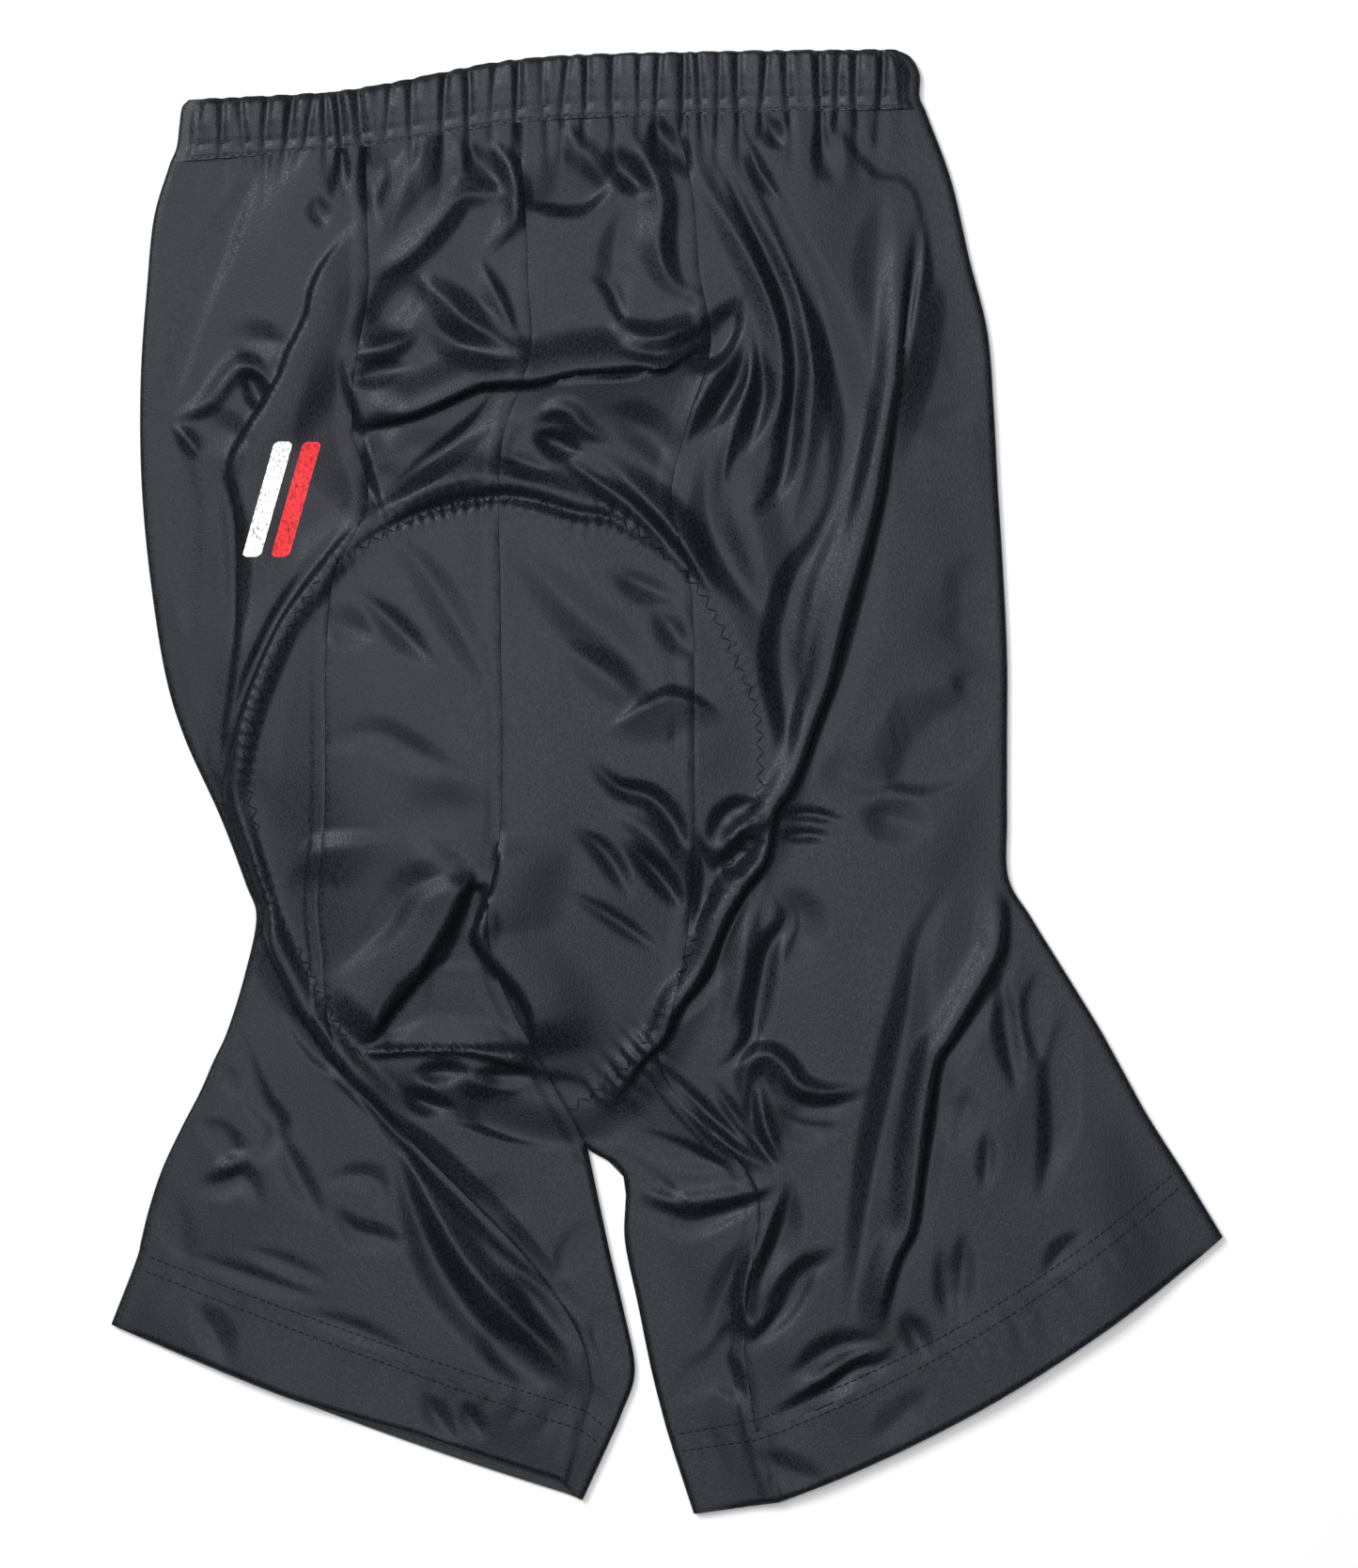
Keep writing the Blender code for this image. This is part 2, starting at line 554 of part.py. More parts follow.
def waist_line(level, shares):
    """Points of one level of the casing, at shares of the way from its left end to its right end."""
    stops = np.array([level.left, level.left_seam, level.centre, level.right_seam, level.right], float)
    along = length_along(stops)
    travelled = np.clip(shares, 0, 1) * along[-1]
    return np.stack([np.interp(travelled, along, stops[:, axis]) for axis in (0, 1)], axis=-1)


def waist_casing(name, material):
    """The gathered ring: grooves in the upper layer, the lower layer flat where it rests."""
    lowest = length_along(np.array([WAIST_LEVELS[0].left, WAIST_LEVELS[0].right], float))[-1]
    upper_shares = np.linspace(0.0, 1.0, round(lowest / WAIST_STEP))
    lower_shares = np.linspace(1.0, 0.0, round(lowest / WAIST_UNDER_STEP))
    grids = [[], []]
    for level in WAIST_LEVELS:
        ends = waist_line(level, np.array([0.0, 1.0]))
        span = np.hypot(*(ends[1] - ends[0]))
        inset = (FOLD_RADIUS + BAND_WALL - WALL) / span
        upper = waist_line(level, inset + upper_shares * (1 - 2 * inset))
        lower = waist_line(level, inset + lower_shares * (1 - 2 * inset))
        shape = ease(upper_shares / WAIST_END_SHARE) * ease((1 - upper_shares) / WAIST_END_SHARE)
        flat_end = 2 * BAND_WALL + LAYER_GAP
        top = flat_end + (level.height - flat_end) * shape - gathered(upper[:, 0]) * level.gather * shape
        top = np.maximum(top, flat_end)
        for face, thickness in enumerate((0.0, BAND_WALL)):
            turns = [
                band_end(start[None], edge[None] + (0, SEAM_GAP), np.array([flat_end]), thickness)[0]
                for start, edge in ((upper[-1], ends[1]), (upper[0], ends[0]))
            ]
            grids[face].append(np.vstack([
                np.column_stack([upper, top - thickness]),
                turns[0],
                np.column_stack([lower, np.full(len(lower), thickness)]),
                turns[1][::-1],
            ]))
    return add_wall(name, np.array(grids[0]), np.array(grids[1]), True, material)


def seat_pad(name, material):
    """A domed pad with a thin edge, inside the zigzag line, flat underneath."""
    headings = np.linspace(-math.pi, math.pi, PAD_SPOKES, endpoint=False)
    radius = pad_radius(headings)
    direction = np.stack([np.cos(headings), np.sin(headings)], axis=-1)
    base = WALL + LAYER_GAP
    points = [(*PAD_CENTRE, float(pad_top(0.0)))]
    for share in PAD_RINGS:
        ring = np.add(PAD_CENTRE, direction * (radius * share)[:, None])
        points += [(x, y, float(pad_top(share))) for x, y in ring]
    points += [(x, y, base) for x, y in ring]
    rings = len(PAD_RINGS) + 1
    faces = []
    for spoke in range(PAD_SPOKES):
        following = (spoke + 1) % PAD_SPOKES
        faces.append([0, 1 + spoke, 1 + following])
        for ring_index in range(rings - 1):
            near = 1 + ring_index * PAD_SPOKES
            far = near + PAD_SPOKES
            faces.append([near + spoke, far + spoke, far + following, near + following])
    faces.append([1 + (rings - 1) * PAD_SPOKES + spoke for spoke in range(PAD_SPOKES)])
    return add_mesh(name, np.array(points) * MM, faces, material)


def centre_on_floor(pieces):
    """Puts the origin under the middle of the garment's outline."""
    corners = [np.array(piece.bound_box) for piece in pieces]
    low = np.min([points.min(axis=0) for points in corners], axis=0)
    high = np.max([points.max(axis=0) for points in corners], axis=0)
    middle = 0.5 * (low + high)
    for piece in pieces:
        piece.location = (-middle[0], -middle[1], -low[2])


def main():
    clear_scene()
    cloth = cloth_material("stretch_cloth", CLOTH_COLOUR, 0.5)
    casing = cloth_material("casing_cloth", CASING_COLOUR, 0.5)
    padding = cloth_material("pad_cloth", PAD_COLOUR, 0.9)
    pieces = [waist_casing("waistband", casing), seat_pad("seat_pad", padding)]
    for side, sections in (("left", LEFT_SECTIONS), ("right", RIGHT_SECTIONS)):
        panels = Half(sections, section_levels(0, HEM_ROW))
        hem = Half(sections, np.linspace(HEM_ROW, HEM_EDGE, 4))
        pieces += [
            side_panel("side_" + side, panels, cloth),
            back_panel("centre_back_" + side, panels, cloth),
            front_panel("centre_front_" + side, panels, cloth),
            hem_band("hem_" + side, hem, HEM_LAYER_STEP[side], cloth),
        ]
    centre_on_floor(pieces)


main()
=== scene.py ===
"""Dresses flat-laid cycling shorts in cloth: folded panels, gathered waist, seat pad, hems and stitching."""

import math
from collections import namedtuple

import bpy
import numpy as np
from bpy.props import FloatProperty, FloatVectorProperty, PointerProperty
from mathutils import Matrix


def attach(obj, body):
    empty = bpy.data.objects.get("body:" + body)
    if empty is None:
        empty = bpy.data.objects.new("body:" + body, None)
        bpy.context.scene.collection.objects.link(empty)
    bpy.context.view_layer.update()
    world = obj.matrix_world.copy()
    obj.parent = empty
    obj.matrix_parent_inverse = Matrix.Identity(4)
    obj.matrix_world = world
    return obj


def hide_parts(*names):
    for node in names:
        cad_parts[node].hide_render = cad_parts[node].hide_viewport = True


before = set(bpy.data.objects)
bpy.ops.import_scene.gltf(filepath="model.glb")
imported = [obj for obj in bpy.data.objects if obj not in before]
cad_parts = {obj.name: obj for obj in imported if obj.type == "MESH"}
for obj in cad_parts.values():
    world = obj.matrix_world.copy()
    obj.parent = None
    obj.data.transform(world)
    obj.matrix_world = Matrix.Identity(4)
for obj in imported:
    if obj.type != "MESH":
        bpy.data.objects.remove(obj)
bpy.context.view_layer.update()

bl_info = {
    "name": "Flat-laid cycling shorts",
    "version": (1, 0, 0),
    "blender": (4, 5, 0),
    "location": "3D View > Sidebar > Shorts",
    "description": "Builds the cloth, pad and stitching of cycling shorts laid flat, back side up",
    "category": "Object",
}

MM = 0.001
PHOTO_SCALE = 0.36
PHOTO_LEFT = -255.49
PHOTO_TOP = 299.37
PHOTO_SIZE = (1445, 1668)
CENTRING = (-0.25, -0.15)

Section = namedtuple("Section", "name outer seam centre bow")

LEFT_SECTIONS = (
    Section("waist", (-190, 237), (-115, 243), (-57, 252), 0),
    Section("below waist", (-196.2, 216), (-114.5, 217), (-54, 220), 0),
    Section("upper hip", (-199, 188), (-114, 188), (-53, 191.5), 0),
    Section("over tuck", (-201, 161), (-119, 159), (-52, 163), 0),
    Section("under tuck", (-201.5, 134), (-120, 134), (-62, 134), 0),
    Section("pad top", (-200.5, 107), (-114, 107), (-64, 107), 0),
    Section("upper seat", (-197.5, 77), (-127, 78), (-63.5, 78), 0),
    Section("mid seat", (-192, 42), (-130, 42), (-63, 42), 0),
    Section("lower seat", (-184.5, 17), (-130, 11.5), (-62.5, 11.5), 0),
    Section("under seat", (-170.7, -13.5), (-130.5, -17), (-63.5, -21), 0),
    Section("thigh top", (-161, -39), (-133, -46), (-68, -48), 0),
    Section("thigh notch", (-157, -52), (-131, -68), (-64, -75), 0),
    Section("thigh", (-161.5, -74), (-129.5, -89), (-51, -102), 0),
    Section("over crotch", (-168, -95), (-123, -109), (-39, -123.5), 0),
    Section("crotch", (-173.5, -107), (-111, -122.5), (-30, -140.5), 0),
    Section("leg top", (-178.5, -118.5), (-96, -139), (-26.5, -157), 0),
    Section("upper leg", (-186, -133), (-74, -161), (-21.5, -180.5), 0),
    Section("mid leg", (-193, -148), (-53, -183), (-16, -203.5), 0),
    Section("lower leg", (-198, -163), (-35, -208.5), (-12, -225.5), 0),
    Section("over hem", (-201, -175), (-29, -229.5), (-17, -241.5), 1),
    Section("hem row", (-203, -183), (-32, -245), (-22, -253), 1.5),
    Section("hem edge", (-212.5, -207.5), (-39, -272), (-32, -274.7), 2.7),
)

RIGHT_SECTIONS = (
    Section("waist", (99, 257.5), (4, 255), (-57, 252), 0),
    Section("below waist", (109, 230.5), (10, 224), (-54, 220), 0),
    Section("upper hip", (116, 200.5), (12.5, 195), (-53, 191.5), 0),
    Section("over tuck", (123, 172), (17, 167), (-52, 163), 0),
    Section("under tuck", (125.5, 141), (8, 137.5), (-62, 134), 0),
    Section("pad top", (127, 112), (2, 109), (-64, 107), 0),
    Section("upper seat", (129, 80), (9, 77), (-63.5, 78), 0),
    Section("mid seat", (130.5, 47.5), (10.5, 44), (-63, 42), 0),
    Section("lower seat", (130.5, 15), (10.5, 15), (-62.5, 11.5), 0),
    Section("under seat", (130.5, -13.5), (10.5, -17.5), (-63.5, -21), 0),
    Section("thigh top", (131, -36.5), (9.5, -44.5), (-68, -48), 0),
    Section("thigh notch", (139.5, -51.5), (6.5, -67.5), (-64, -75), 0),
    Section("thigh", (150, -68.5), (1.5, -89.5), (-51, -102), 1),
    Section("over crotch", (159, -83), (-3, -104.5), (-39, -123.5), 2),
    Section("crotch", (166, -94.5), (3, -118), (-30, -140.5), 3),
    Section("leg top", (171, -103.5), (18, -135), (-16.5, -151), 4),
    Section("upper leg", (177, -114.5), (35, -156), (-16, -175), 5),
    Section("mid leg", (183, -125.5), (33, -182), (-11, -199.5), 7),
    Section("lower leg", (189.5, -136), (30, -211), (-6, -224), 9),
    Section("over hem", (195, -144.5), (32, -233), (-1.5, -242), 9.5),
    Section("hem row", (198.5, -150), (35, -248.5), (2, -254), 9),
    Section("hem edge", (213, -174), (43, -275.5), (10.5, -280), 9.5),
)

CROTCH = 14
HEM_ROW = 20
HEM_EDGE = 21

BandLevel = namedtuple("BandLevel", "name left left_seam centre right_seam right height gather")

WAIST_LEVELS = (
    BandLevel("lower row", (-190, 237), (-115, 243), (-57, 252), (4, 255), (99, 257.5), 4.5, 0.6),
    BandLevel("upper row", (-187.5, 243), (-117, 248), (-56.5, 257.5), (4.5, 261), (97, 262.5), 4.7, 0.9),
    BandLevel("middle", (-186.5, 251), (-119, 256), (-57, 267), (5.5, 270.5), (97, 271), 5.7, 1.3),
    BandLevel("upper", (-185.5, 258), (-120.5, 262), (-57, 274), (6.5, 278), (93.5, 277.5), 5.4, 1.5),
    BandLevel("top edge", (-183, 261), (-121, 265), (-57, 276.5), (6.5, 279.3), (88, 280.3), 4.0, 1.0),
)

Gather = namedtuple("Gather", "x depth half_width lean length")

GATHERS = (
    Gather(-179, 0.8, 2.5, 1, 12), Gather(-170, 0.9, 2.2, 0, 16), Gather(-161, 0.8, 2.0, -2, 10),
    Gather(-153, 1.0, 2.4, 1, 22), Gather(-145, 1.2, 2.6, 3, 14), Gather(-138, 0.9, 2.2, 5, 10),
    Gather(-130, 0.8, 2.2, 0, 18), Gather(-124.5, 1.6, 2.6, -2, 24), Gather(-116, 1.1, 3.0, -3, 30),
    Gather(-107, 0.7, 2.2, 2, 20), Gather(-97, 0.7, 2.4, 0, 26), Gather(-85, 1.1, 2.4, 2, 34),
    Gather(-75.5, 1.0, 2.2, -1, 22), Gather(-66, 0.8, 2.4, 2, 18), Gather(-57, 1.3, 2.4, 0, 24),
    Gather(-46, 0.8, 2.4, -2, 30), Gather(-39, 0.9, 2.2, 2, 34), Gather(-31, 1.0, 2.2, 1, 20),
    Gather(-20, 1.0, 2.6, -1, 26), Gather(-10, 0.7, 2.2, 1, 16), Gather(-3, 0.9, 2.2, 2, 30),
    Gather(6.5, 1.3, 2.4, 0, 36), Gather(13, 0.9, 2.2, -2, 26), Gather(20, 0.9, 2.2, 1, 38),
    Gather(28, 1.1, 2.4, 0, 30), Gather(37, 1.0, 2.2, 2, 20), Gather(47, 0.9, 2.4, -1, 28),
    Gather(59, 1.5, 2.8, 0, 36), Gather(66, 0.8, 2.2, 2, 18), Gather(73, 0.9, 2.4, 0, 34),
    Gather(82, 1.8, 2.4, 1, 30), Gather(90, 0.9, 2.0, -1, 16),
)

PAD_OUTLINE = (
    (-68, 107.5), (-40, 103), (-12, 97), (10, 77), (23.5, 53), (35.5, 22), (34.5, -9), (16, -45),
    (7, -70), (-4, -94), (-21, -112), (-40, -120), (-78, -108), (-114, -101), (-132, -78), (-148, -51),
    (-157, -14), (-160, 6), (-156, 31), (-147, 54), (-132, 77), (-110, 92), (-88, 104),
)
PAD_CENTRE = (-62.0, -5.0)
PAD_STITCHES = (
    (341, 617), (380, 587), (423, 561), (463, 543), (498, 533), (539, 532), (565, 539), (583, 537),
    (613, 552), (655, 552), (695, 580), (744, 629), (774, 684), (803, 751), (808, 791), (807, 845),
    (793, 887), (767, 934), (739, 999), (712, 1061), (674, 1123), (646, 1151), (605, 1182),
)
PAD_STITCHES_LEFT = (
    (341, 617), (318, 655), (292, 701), (276, 745), (265, 795), (264, 835), (272, 870), (279, 920),
    (297, 975), (326, 1025), (350, 1072), (367, 1099), (382, 1119), (435, 1113), (493, 1113),
    (523, 1119), (570, 1128),
)

# height and widths are in millimetres, path in pixels of the photograph. left and right are the sides of
# the path as it runs, seen from above. power 2 is a rounded fold, 1 a sharp one.
Fold = namedtuple("Fold", "name height left right power path")

FOLDS = (
    Fold("left seat ridge 1", 3.4, 14, 8, 1.4, ((458, 146), (448, 172), (430, 205), (412, 250))),
    Fold("left of that ridge", -2.0, 6, 7, 1.6, ((402, 152), (397, 190), (396, 230))),
    Fold("streak under the waist", 0.9, 4, 4, 2, ((488, 146), (490, 172), (486, 200))),
    Fold("left seat ridge 2", 3.6, 9, 7, 1.1,
         ((393, 294), (430, 276), (460, 246), (488, 213), (512, 209), (538, 209))),
    Fold("left seat hollow", -3.4, 9, 10, 1.6, ((448, 290), (424, 322), (404, 345), (384, 356))),
    Fold("ridge by the centre seam", 2.6, 5, 6, 1.3,
         ((516, 148), (538, 168), (549, 198), (548, 232), (530, 256), (512, 276))),
    Fold("hollow by that ridge", -1.8, 6, 6, 1.6, ((500, 160), (518, 182), (534, 198))),
    Fold("left seat ridge 3", 1.9, 4, 6, 1.3, ((510, 276), (528, 314), (542, 344), (555, 370))),
    Fold("left seat ridge 4", 3.2, 8, 8, 1.2,
         ((446, 296), (472, 318), (496, 342), (524, 360), (556, 374))),
    Fold("hollow under ridge 4", -1.8, 8, 8, 1.8, ((452, 345), (480, 362), (512, 374), (552, 386))),
    Fold("left seat finger", 2.4, 5, 5, 1.3, ((374, 380), (404, 374), (430, 364), (444, 352))),
    Fold("under the finger", -2.0, 5, 6, 1.5, ((374, 407), (400, 398), (430, 390))),
    Fold("hollow under the waist", -3.6, 21, 5, 1.1, ((568, 214), (598, 218), (626, 212), (644, 196))),
    Fold("ridge right of that hollow", 1.4, 5, 6, 1.5,
         ((596, 132), (618, 158), (634, 180), (644, 200))),
    Fold("right seat ridge 1", 3.2, 7, 8, 1.3,
         ((668, 136), (680, 158), (695, 186), (704, 220), (700, 258), (708, 290), (724, 308), (748, 320))),
    Fold("right seat pocket", -2.8, 7, 6, 1.4, ((650, 162), (668, 188), (692, 202))),
    Fold("right seat hollow 2", -2.6, 6, 7, 1.5, ((692, 130), (712, 154), (734, 184))),
    Fold("right seat slope", -1.6, 8, 7, 1.8, ((664, 222), (654, 280), (662, 340))),
    Fold("right seat crease", -1.1, 3, 4, 1.2, ((618, 284), (646, 302), (660, 330), (664, 360))),
    Fold("swag", 3.0, 6, 7, 1.2, ((650, 332), (668, 352), (696, 360), (724, 352), (752, 328))),
    Fold("hollow under the swag", -2.4, 6, 5, 1.6, ((662, 372), (700, 378), (732, 368), (756, 350))),
    Fold("under the tuck", 4.6, 2.5, 20, 1.1, ((560, 414), (620, 406), (680, 402), (742, 384))),
    Fold("dark end of the tuck", -2.6, 5, 9, 1.5, ((372, 470), (396, 460), (424, 452))),
    Fold("soft slope under the tuck", -1.4, 8, 8, 1.8, ((392, 496), (430, 484), (470, 462))),
    Fold("crease under the tuck", -2.8, 8, 4, 1.1, ((532, 412), (502, 454), (452, 494), (400, 538))),
    Fold("roll along that crease", 2.2, 8, 8, 1.6, ((556, 446), (520, 478), (470, 510), (420, 544))),
    Fold("left seam crease", -4.2, 4, 20, 1.2,
         ((362, 396), (370, 434), (378, 470), (390, 508), (404, 540))),
    Fold("curl under the tuck", 2.2, 5, 5, 1.3,
         ((562, 452), (586, 438), (606, 440), (624, 458), (656, 470))),
    Fold("black spot", -4.0, 5, 6, 1.1, ((572, 464), (592, 472), (616, 482))),
    Fold("right of the pad roll 1", -4.4, 3.6, 5, 1.0,
         ((590, 478), (628, 508), (668, 536), (704, 570), (730, 602), (752, 634))),
    Fold("right of the pad roll 2", 2.8, 9, 5, 1.5,
         ((634, 484), (668, 512), (700, 546), (730, 584), (762, 640))),
    Fold("slope right of the curl", -1.8, 9, 9, 1.8, ((650, 440), (690, 460), (716, 500))),
    Fold("under the roll", -1.6, 4, 5, 1.3, ((536, 484), (560, 496), (586, 503))),
    Fold("roll over the pad", 2.2, 8, 8, 1.8,
         ((352, 588), (400, 550), (455, 522), (520, 508), (590, 520), (650, 540))),
    Fold("beside the pad's left", -2.8, 12, 5, 1.6,
         ((385, 548), (330, 605), (288, 680), (256, 760), (234, 832), (236, 866), (258, 935), (280, 1005))),
    Fold("left hip trough", -2.4, 6, 8, 1.5,
         ((284, 168), (250, 230), (224, 286), (204, 332), (190, 400), (180, 450))),
    Fold("left hip slit", -1.8, 4, 4, 1.3, ((362, 158), (362, 184), (354, 214))),
    Fold("left hip spot", -1.3, 5, 5, 1.8, ((338, 212), (340, 226), (346, 240))),
    Fold("left hip arch", 2.6, 6, 5, 1.2,
         ((186, 448), (222, 430), (240, 408), (256, 392), (276, 396), (292, 420))),
    Fold("over the arch", -1.4, 7, 8, 1.8, ((246, 366), (272, 362), (300, 366))),
    Fold("under the arch", -3.0, 5, 5, 1.3, ((262, 398), (272, 414), (276, 438))),
    Fold("hollow under the arch", -1.6, 8, 9, 1.8, ((206, 452), (236, 458), (262, 470))),
    Fold("left hip nub", 1.6, 4, 4, 1.3, ((186, 452), (200, 468), (214, 488))),
    Fold("edge trough, left", -1.7, 7, 6, 1.8, ((184, 450), (196, 520), (196, 600), (204, 680))),
    Fold("left of the mark", -2.2, 4, 7, 1.2,
         ((262, 474), (248, 520), (256, 570), (258, 640), (252, 700))),
    Fold("waist ridge right 1", 2.4, 7, 7, 1.2,
         ((734, 160), (752, 200), (776, 240), (800, 282), (820, 326), (832, 372), (831, 420), (820, 456),
          (796, 492))),
    Fold("waist trough right 1", -2.6, 5, 5, 1.4,
         ((752, 146), (784, 208), (815, 274), (836, 325), (846, 380), (845, 430), (837, 480), (826, 524),
          (796, 552))),
    Fold("black end of that trough", -2.4, 5, 6, 1.3,
         ((846, 400), (842, 450), (836, 494), (822, 530), (794, 552))),
    Fold("waist ridge right 2", 2.2, 7, 7, 1.3,
         ((784, 160), (812, 222), (838, 282), (856, 336), (864, 390), (862, 440), (852, 510), (836, 580))),
    Fold("waist trough right 2", -2.6, 11, 8, 1.5,
         ((776, 136), (810, 206), (846, 290), (876, 350), (894, 410), (900, 460), (888, 534), (864, 586))),
    Fold("long dark trough", -3.2, 8, 8, 1.5,
         ((898, 520), (872, 574), (850, 610), (838, 650), (830, 700), (834, 752), (838, 800), (834, 840))),
    Fold("beside the long fold", 2.2, 9, 8, 1.5,
         ((948, 400), (932, 470), (914, 530), (892, 590), (872, 660), (862, 720), (850, 786))),
    Fold("waist trough right 3", -1.6, 3, 4, 1.2, ((792, 142), (804, 174), (818, 198), (832, 216))),
    Fold("waist spot", -2.0, 5, 5, 1.6, ((818, 128), (822, 142), (832, 156))),
    Fold("soft waist spot", -1.2, 6, 6, 1.8, ((876, 140), (880, 166), (886, 196))),
    Fold("edge waist trough", -2.4, 7, 6, 1.4,
         ((890, 128), (914, 158), (938, 176), (964, 178), (986, 198), (996, 240), (994, 290), (978, 330))),
    Fold("over the long fold", -1.2, 6, 9, 1.8, ((940, 210), (936, 260), (930, 310), (930, 345))),
    Fold("right of the long fold", 2.4, 11, 2.5, 1.3,
         ((984, 230), (980, 290), (970, 352), (958, 420), (950, 500))),
    Fold("right of the long fold, low", -1.2, 7, 3, 1.5,
         ((946, 520), (926, 610), (900, 710), (874, 780), (846, 860))),
    Fold("hip smear 1", -0.8, 10.4, 10.4, 1.8, ((1014, 372), (1030, 380), (1044, 392))),
    Fold("hip smear 2", -0.6, 6.5, 6.5, 1.8, ((974, 452), (1006, 452), (1036, 428))),
    Fold("fan wedge", -5.4, 6, 9, 1.0, ((786, 322), (776, 346), (762, 372), (738, 394))),
    Fold("fan ridge 1", 2.6, 5, 5, 1.2, ((788, 350), (778, 378), (758, 404), (738, 440), (722, 482))),
    Fold("fan trough 1", -2.6, 4, 5, 1.3, ((796, 370), (788, 400), (774, 424), (754, 454), (736, 470))),
    Fold("fan ridge 2", 2.2, 4, 5, 1.3, ((798, 352), (798, 400), (784, 444), (772, 488), (766, 530))),
    Fold("fan trough 2", -2.6, 4, 5, 1.3, ((806, 366), (813, 408), (808, 440), (796, 474), (784, 490))),
    Fold("under the fan", -2.0, 9, 8, 1.6,
         ((756, 480), (752, 530), (762, 580), (784, 622), (806, 652))),
    Fold("under the fan, ridge", 1.6, 12, 10, 1.8, ((800, 500), (800, 550), (812, 600), (822, 650))),
    Fold("hip hollow 1", -3.8, 28, 9, 1.3, ((944, 828), (1000, 812), (1046, 764))),
    Fold("hip crease", -1.1, 5.2, 6.5, 1.4, ((1018, 720), (1036, 730), (1054, 736))),
    Fold("hip hollow 2", -1.1, 10.4, 10.4, 1.7, ((878, 810), (906, 828), (938, 846))),
    Fold("hip hollow 3", -1.8, 10, 10, 1.7, ((922, 866), (950, 872), (982, 880))),
    Fold("hip hollow 4", -0.8, 11.7, 11.7, 1.8, ((1016, 640), (1036, 624), (1056, 604))),
    Fold("hip hollow 5", -0.7, 10.4, 10.4, 1.8, ((1010, 670), (1040, 664), (1058, 650))),
    Fold("slit by the pad 1", -1.6, 3, 3, 1.2, ((822, 872), (860, 866), (902, 876))),
    Fold("slit by the pad 2", -1.8, 3, 3, 1.2, ((824, 892), (856, 888), (888, 892))),
    Fold("valley at the pad top", -4.5, 3.2, 3.6, 1.0,
         ((345, 612), (402, 570), (463, 542), (540, 528), (613, 546), (655, 554), (705, 588), (746, 628))),
    Fold("seat crease 1", -1.8, 5.4, 6.8, 1.4, ((384, 632), (424, 668), (462, 708))),
    Fold("seat hollow, upper left", -1.3, 8.1, 8.1, 1.7, ((346, 668), (370, 668), (396, 678))),
    Fold("long seat crease", -1.4, 6.8, 8.1, 1.5, ((414, 566), (455, 610), (492, 672), (526, 738))),
    Fold("seat trough across", -1.8, 10.8, 10.8, 1.6, ((552, 586), (610, 648), (668, 698), (702, 748))),
    Fold("seat ridge across", 1.4, 8, 8, 1.6, ((600, 690), (640, 716), (680, 752))),
    Fold("seat crease 2", -1.6, 5.4, 6.8, 1.3, ((654, 609), (684, 624), (716, 636))),
    Fold("seat crease 3", -1.6, 5.4, 6.8, 1.3, ((698, 652), (716, 672), (738, 698))),
    Fold("seat half moon", 3.4, 4, 16, 1.1, ((660, 770), (694, 748), (722, 742), (752, 756))),
    Fold("seat soft line", -1.1, 6.8, 9.5, 1.7, ((344, 794), (396, 780), (440, 798), (492, 822))),
    Fold("seat hollow, lower left", 2.2, 6, 15, 1.4, ((318, 930), (336, 908), (366, 900), (400, 894))),
    Fold("seat hollow by the centre", -1.1, 12.2, 12.2, 1.8, ((420, 880), (470, 862), (512, 858))),
    Fold("left of the opening", -2.0, 7, 8, 1.6, ((526, 926), (446, 938), (406, 988), (352, 1036))),
    Fold("black trough 1", -4.6, 4.5, 5, 1.0,
         ((626, 806), (656, 836), (692, 848), (716, 874), (738, 920))),
    Fold("ridge between the troughs", 2.0, 6, 6, 1.5, ((656, 866), (690, 886), (716, 920), (730, 950))),
    Fold("black trough 2", -4.2, 4.5, 5, 1.0, ((664, 896), (698, 926), (730, 972))),
    Fold("dark trough 3", -2.2, 4, 5, 1.3, ((612, 882), (646, 908), (672, 954))),
    Fold("dark crease 4", -1.8, 3, 4, 1.2, ((602, 946), (656, 978), (710, 1018))),
    Fold("by the right seam", -4.2, 5, 6, 1.1, ((736, 886), (752, 934), (736, 990))),
    Fold("wedge over the seam", -3.0, 5, 6, 1.3, ((756, 894), (774, 866), (804, 852))),
    Fold("ridge over the seam", 2.2, 4, 4, 1.3, ((758, 914), (782, 888), (808, 862))),
    Fold("foot of the fold", -4.8, 6, 7, 1.1, ((752, 930), (786, 912), (822, 874))),
    Fold("right of the pad's foot", -3.0, 7, 3, 1.3,
         ((812, 912), (780, 980), (746, 1046), (704, 1096))),
    Fold("opening, left lip", 0.6, 4.2, 14, 1.4,
         ((516, 926), (490, 948), (470, 984), (452, 1014), (428, 1046), (388, 1094))),
    Fold("opening, right lip", 0.6, 14, 4.2, 1.4,
         ((530, 890), (530, 930), (520, 972), (516, 1000), (546, 1040), (580, 1084))),
    Fold("shadow of the right flap", -3.0, 2.5, 11, 1.3,
         ((508, 1012), (534, 1040), (556, 1072), (572, 1124))),
    Fold("black corner of the opening", -3.6, 7, 7, 1.3, ((456, 1030), (430, 1072), (406, 1110))),
    Fold("hollow at the top of the opening", 4.4, 15, 3, 1.0, ((498, 950), (488, 982), (478, 1014))),
    Fold("under the foot 1", -4.0, 4, 5, 1.2, ((504, 1142), (540, 1144), (580, 1142))),
    Fold("under the foot 2", -3.4, 5, 5, 1.3, ((446, 1142), (470, 1140), (496, 1138))),
    Fold("under the foot 3", -3.0, 5, 5, 1.4, ((432, 1160), (456, 1174), (480, 1176))),
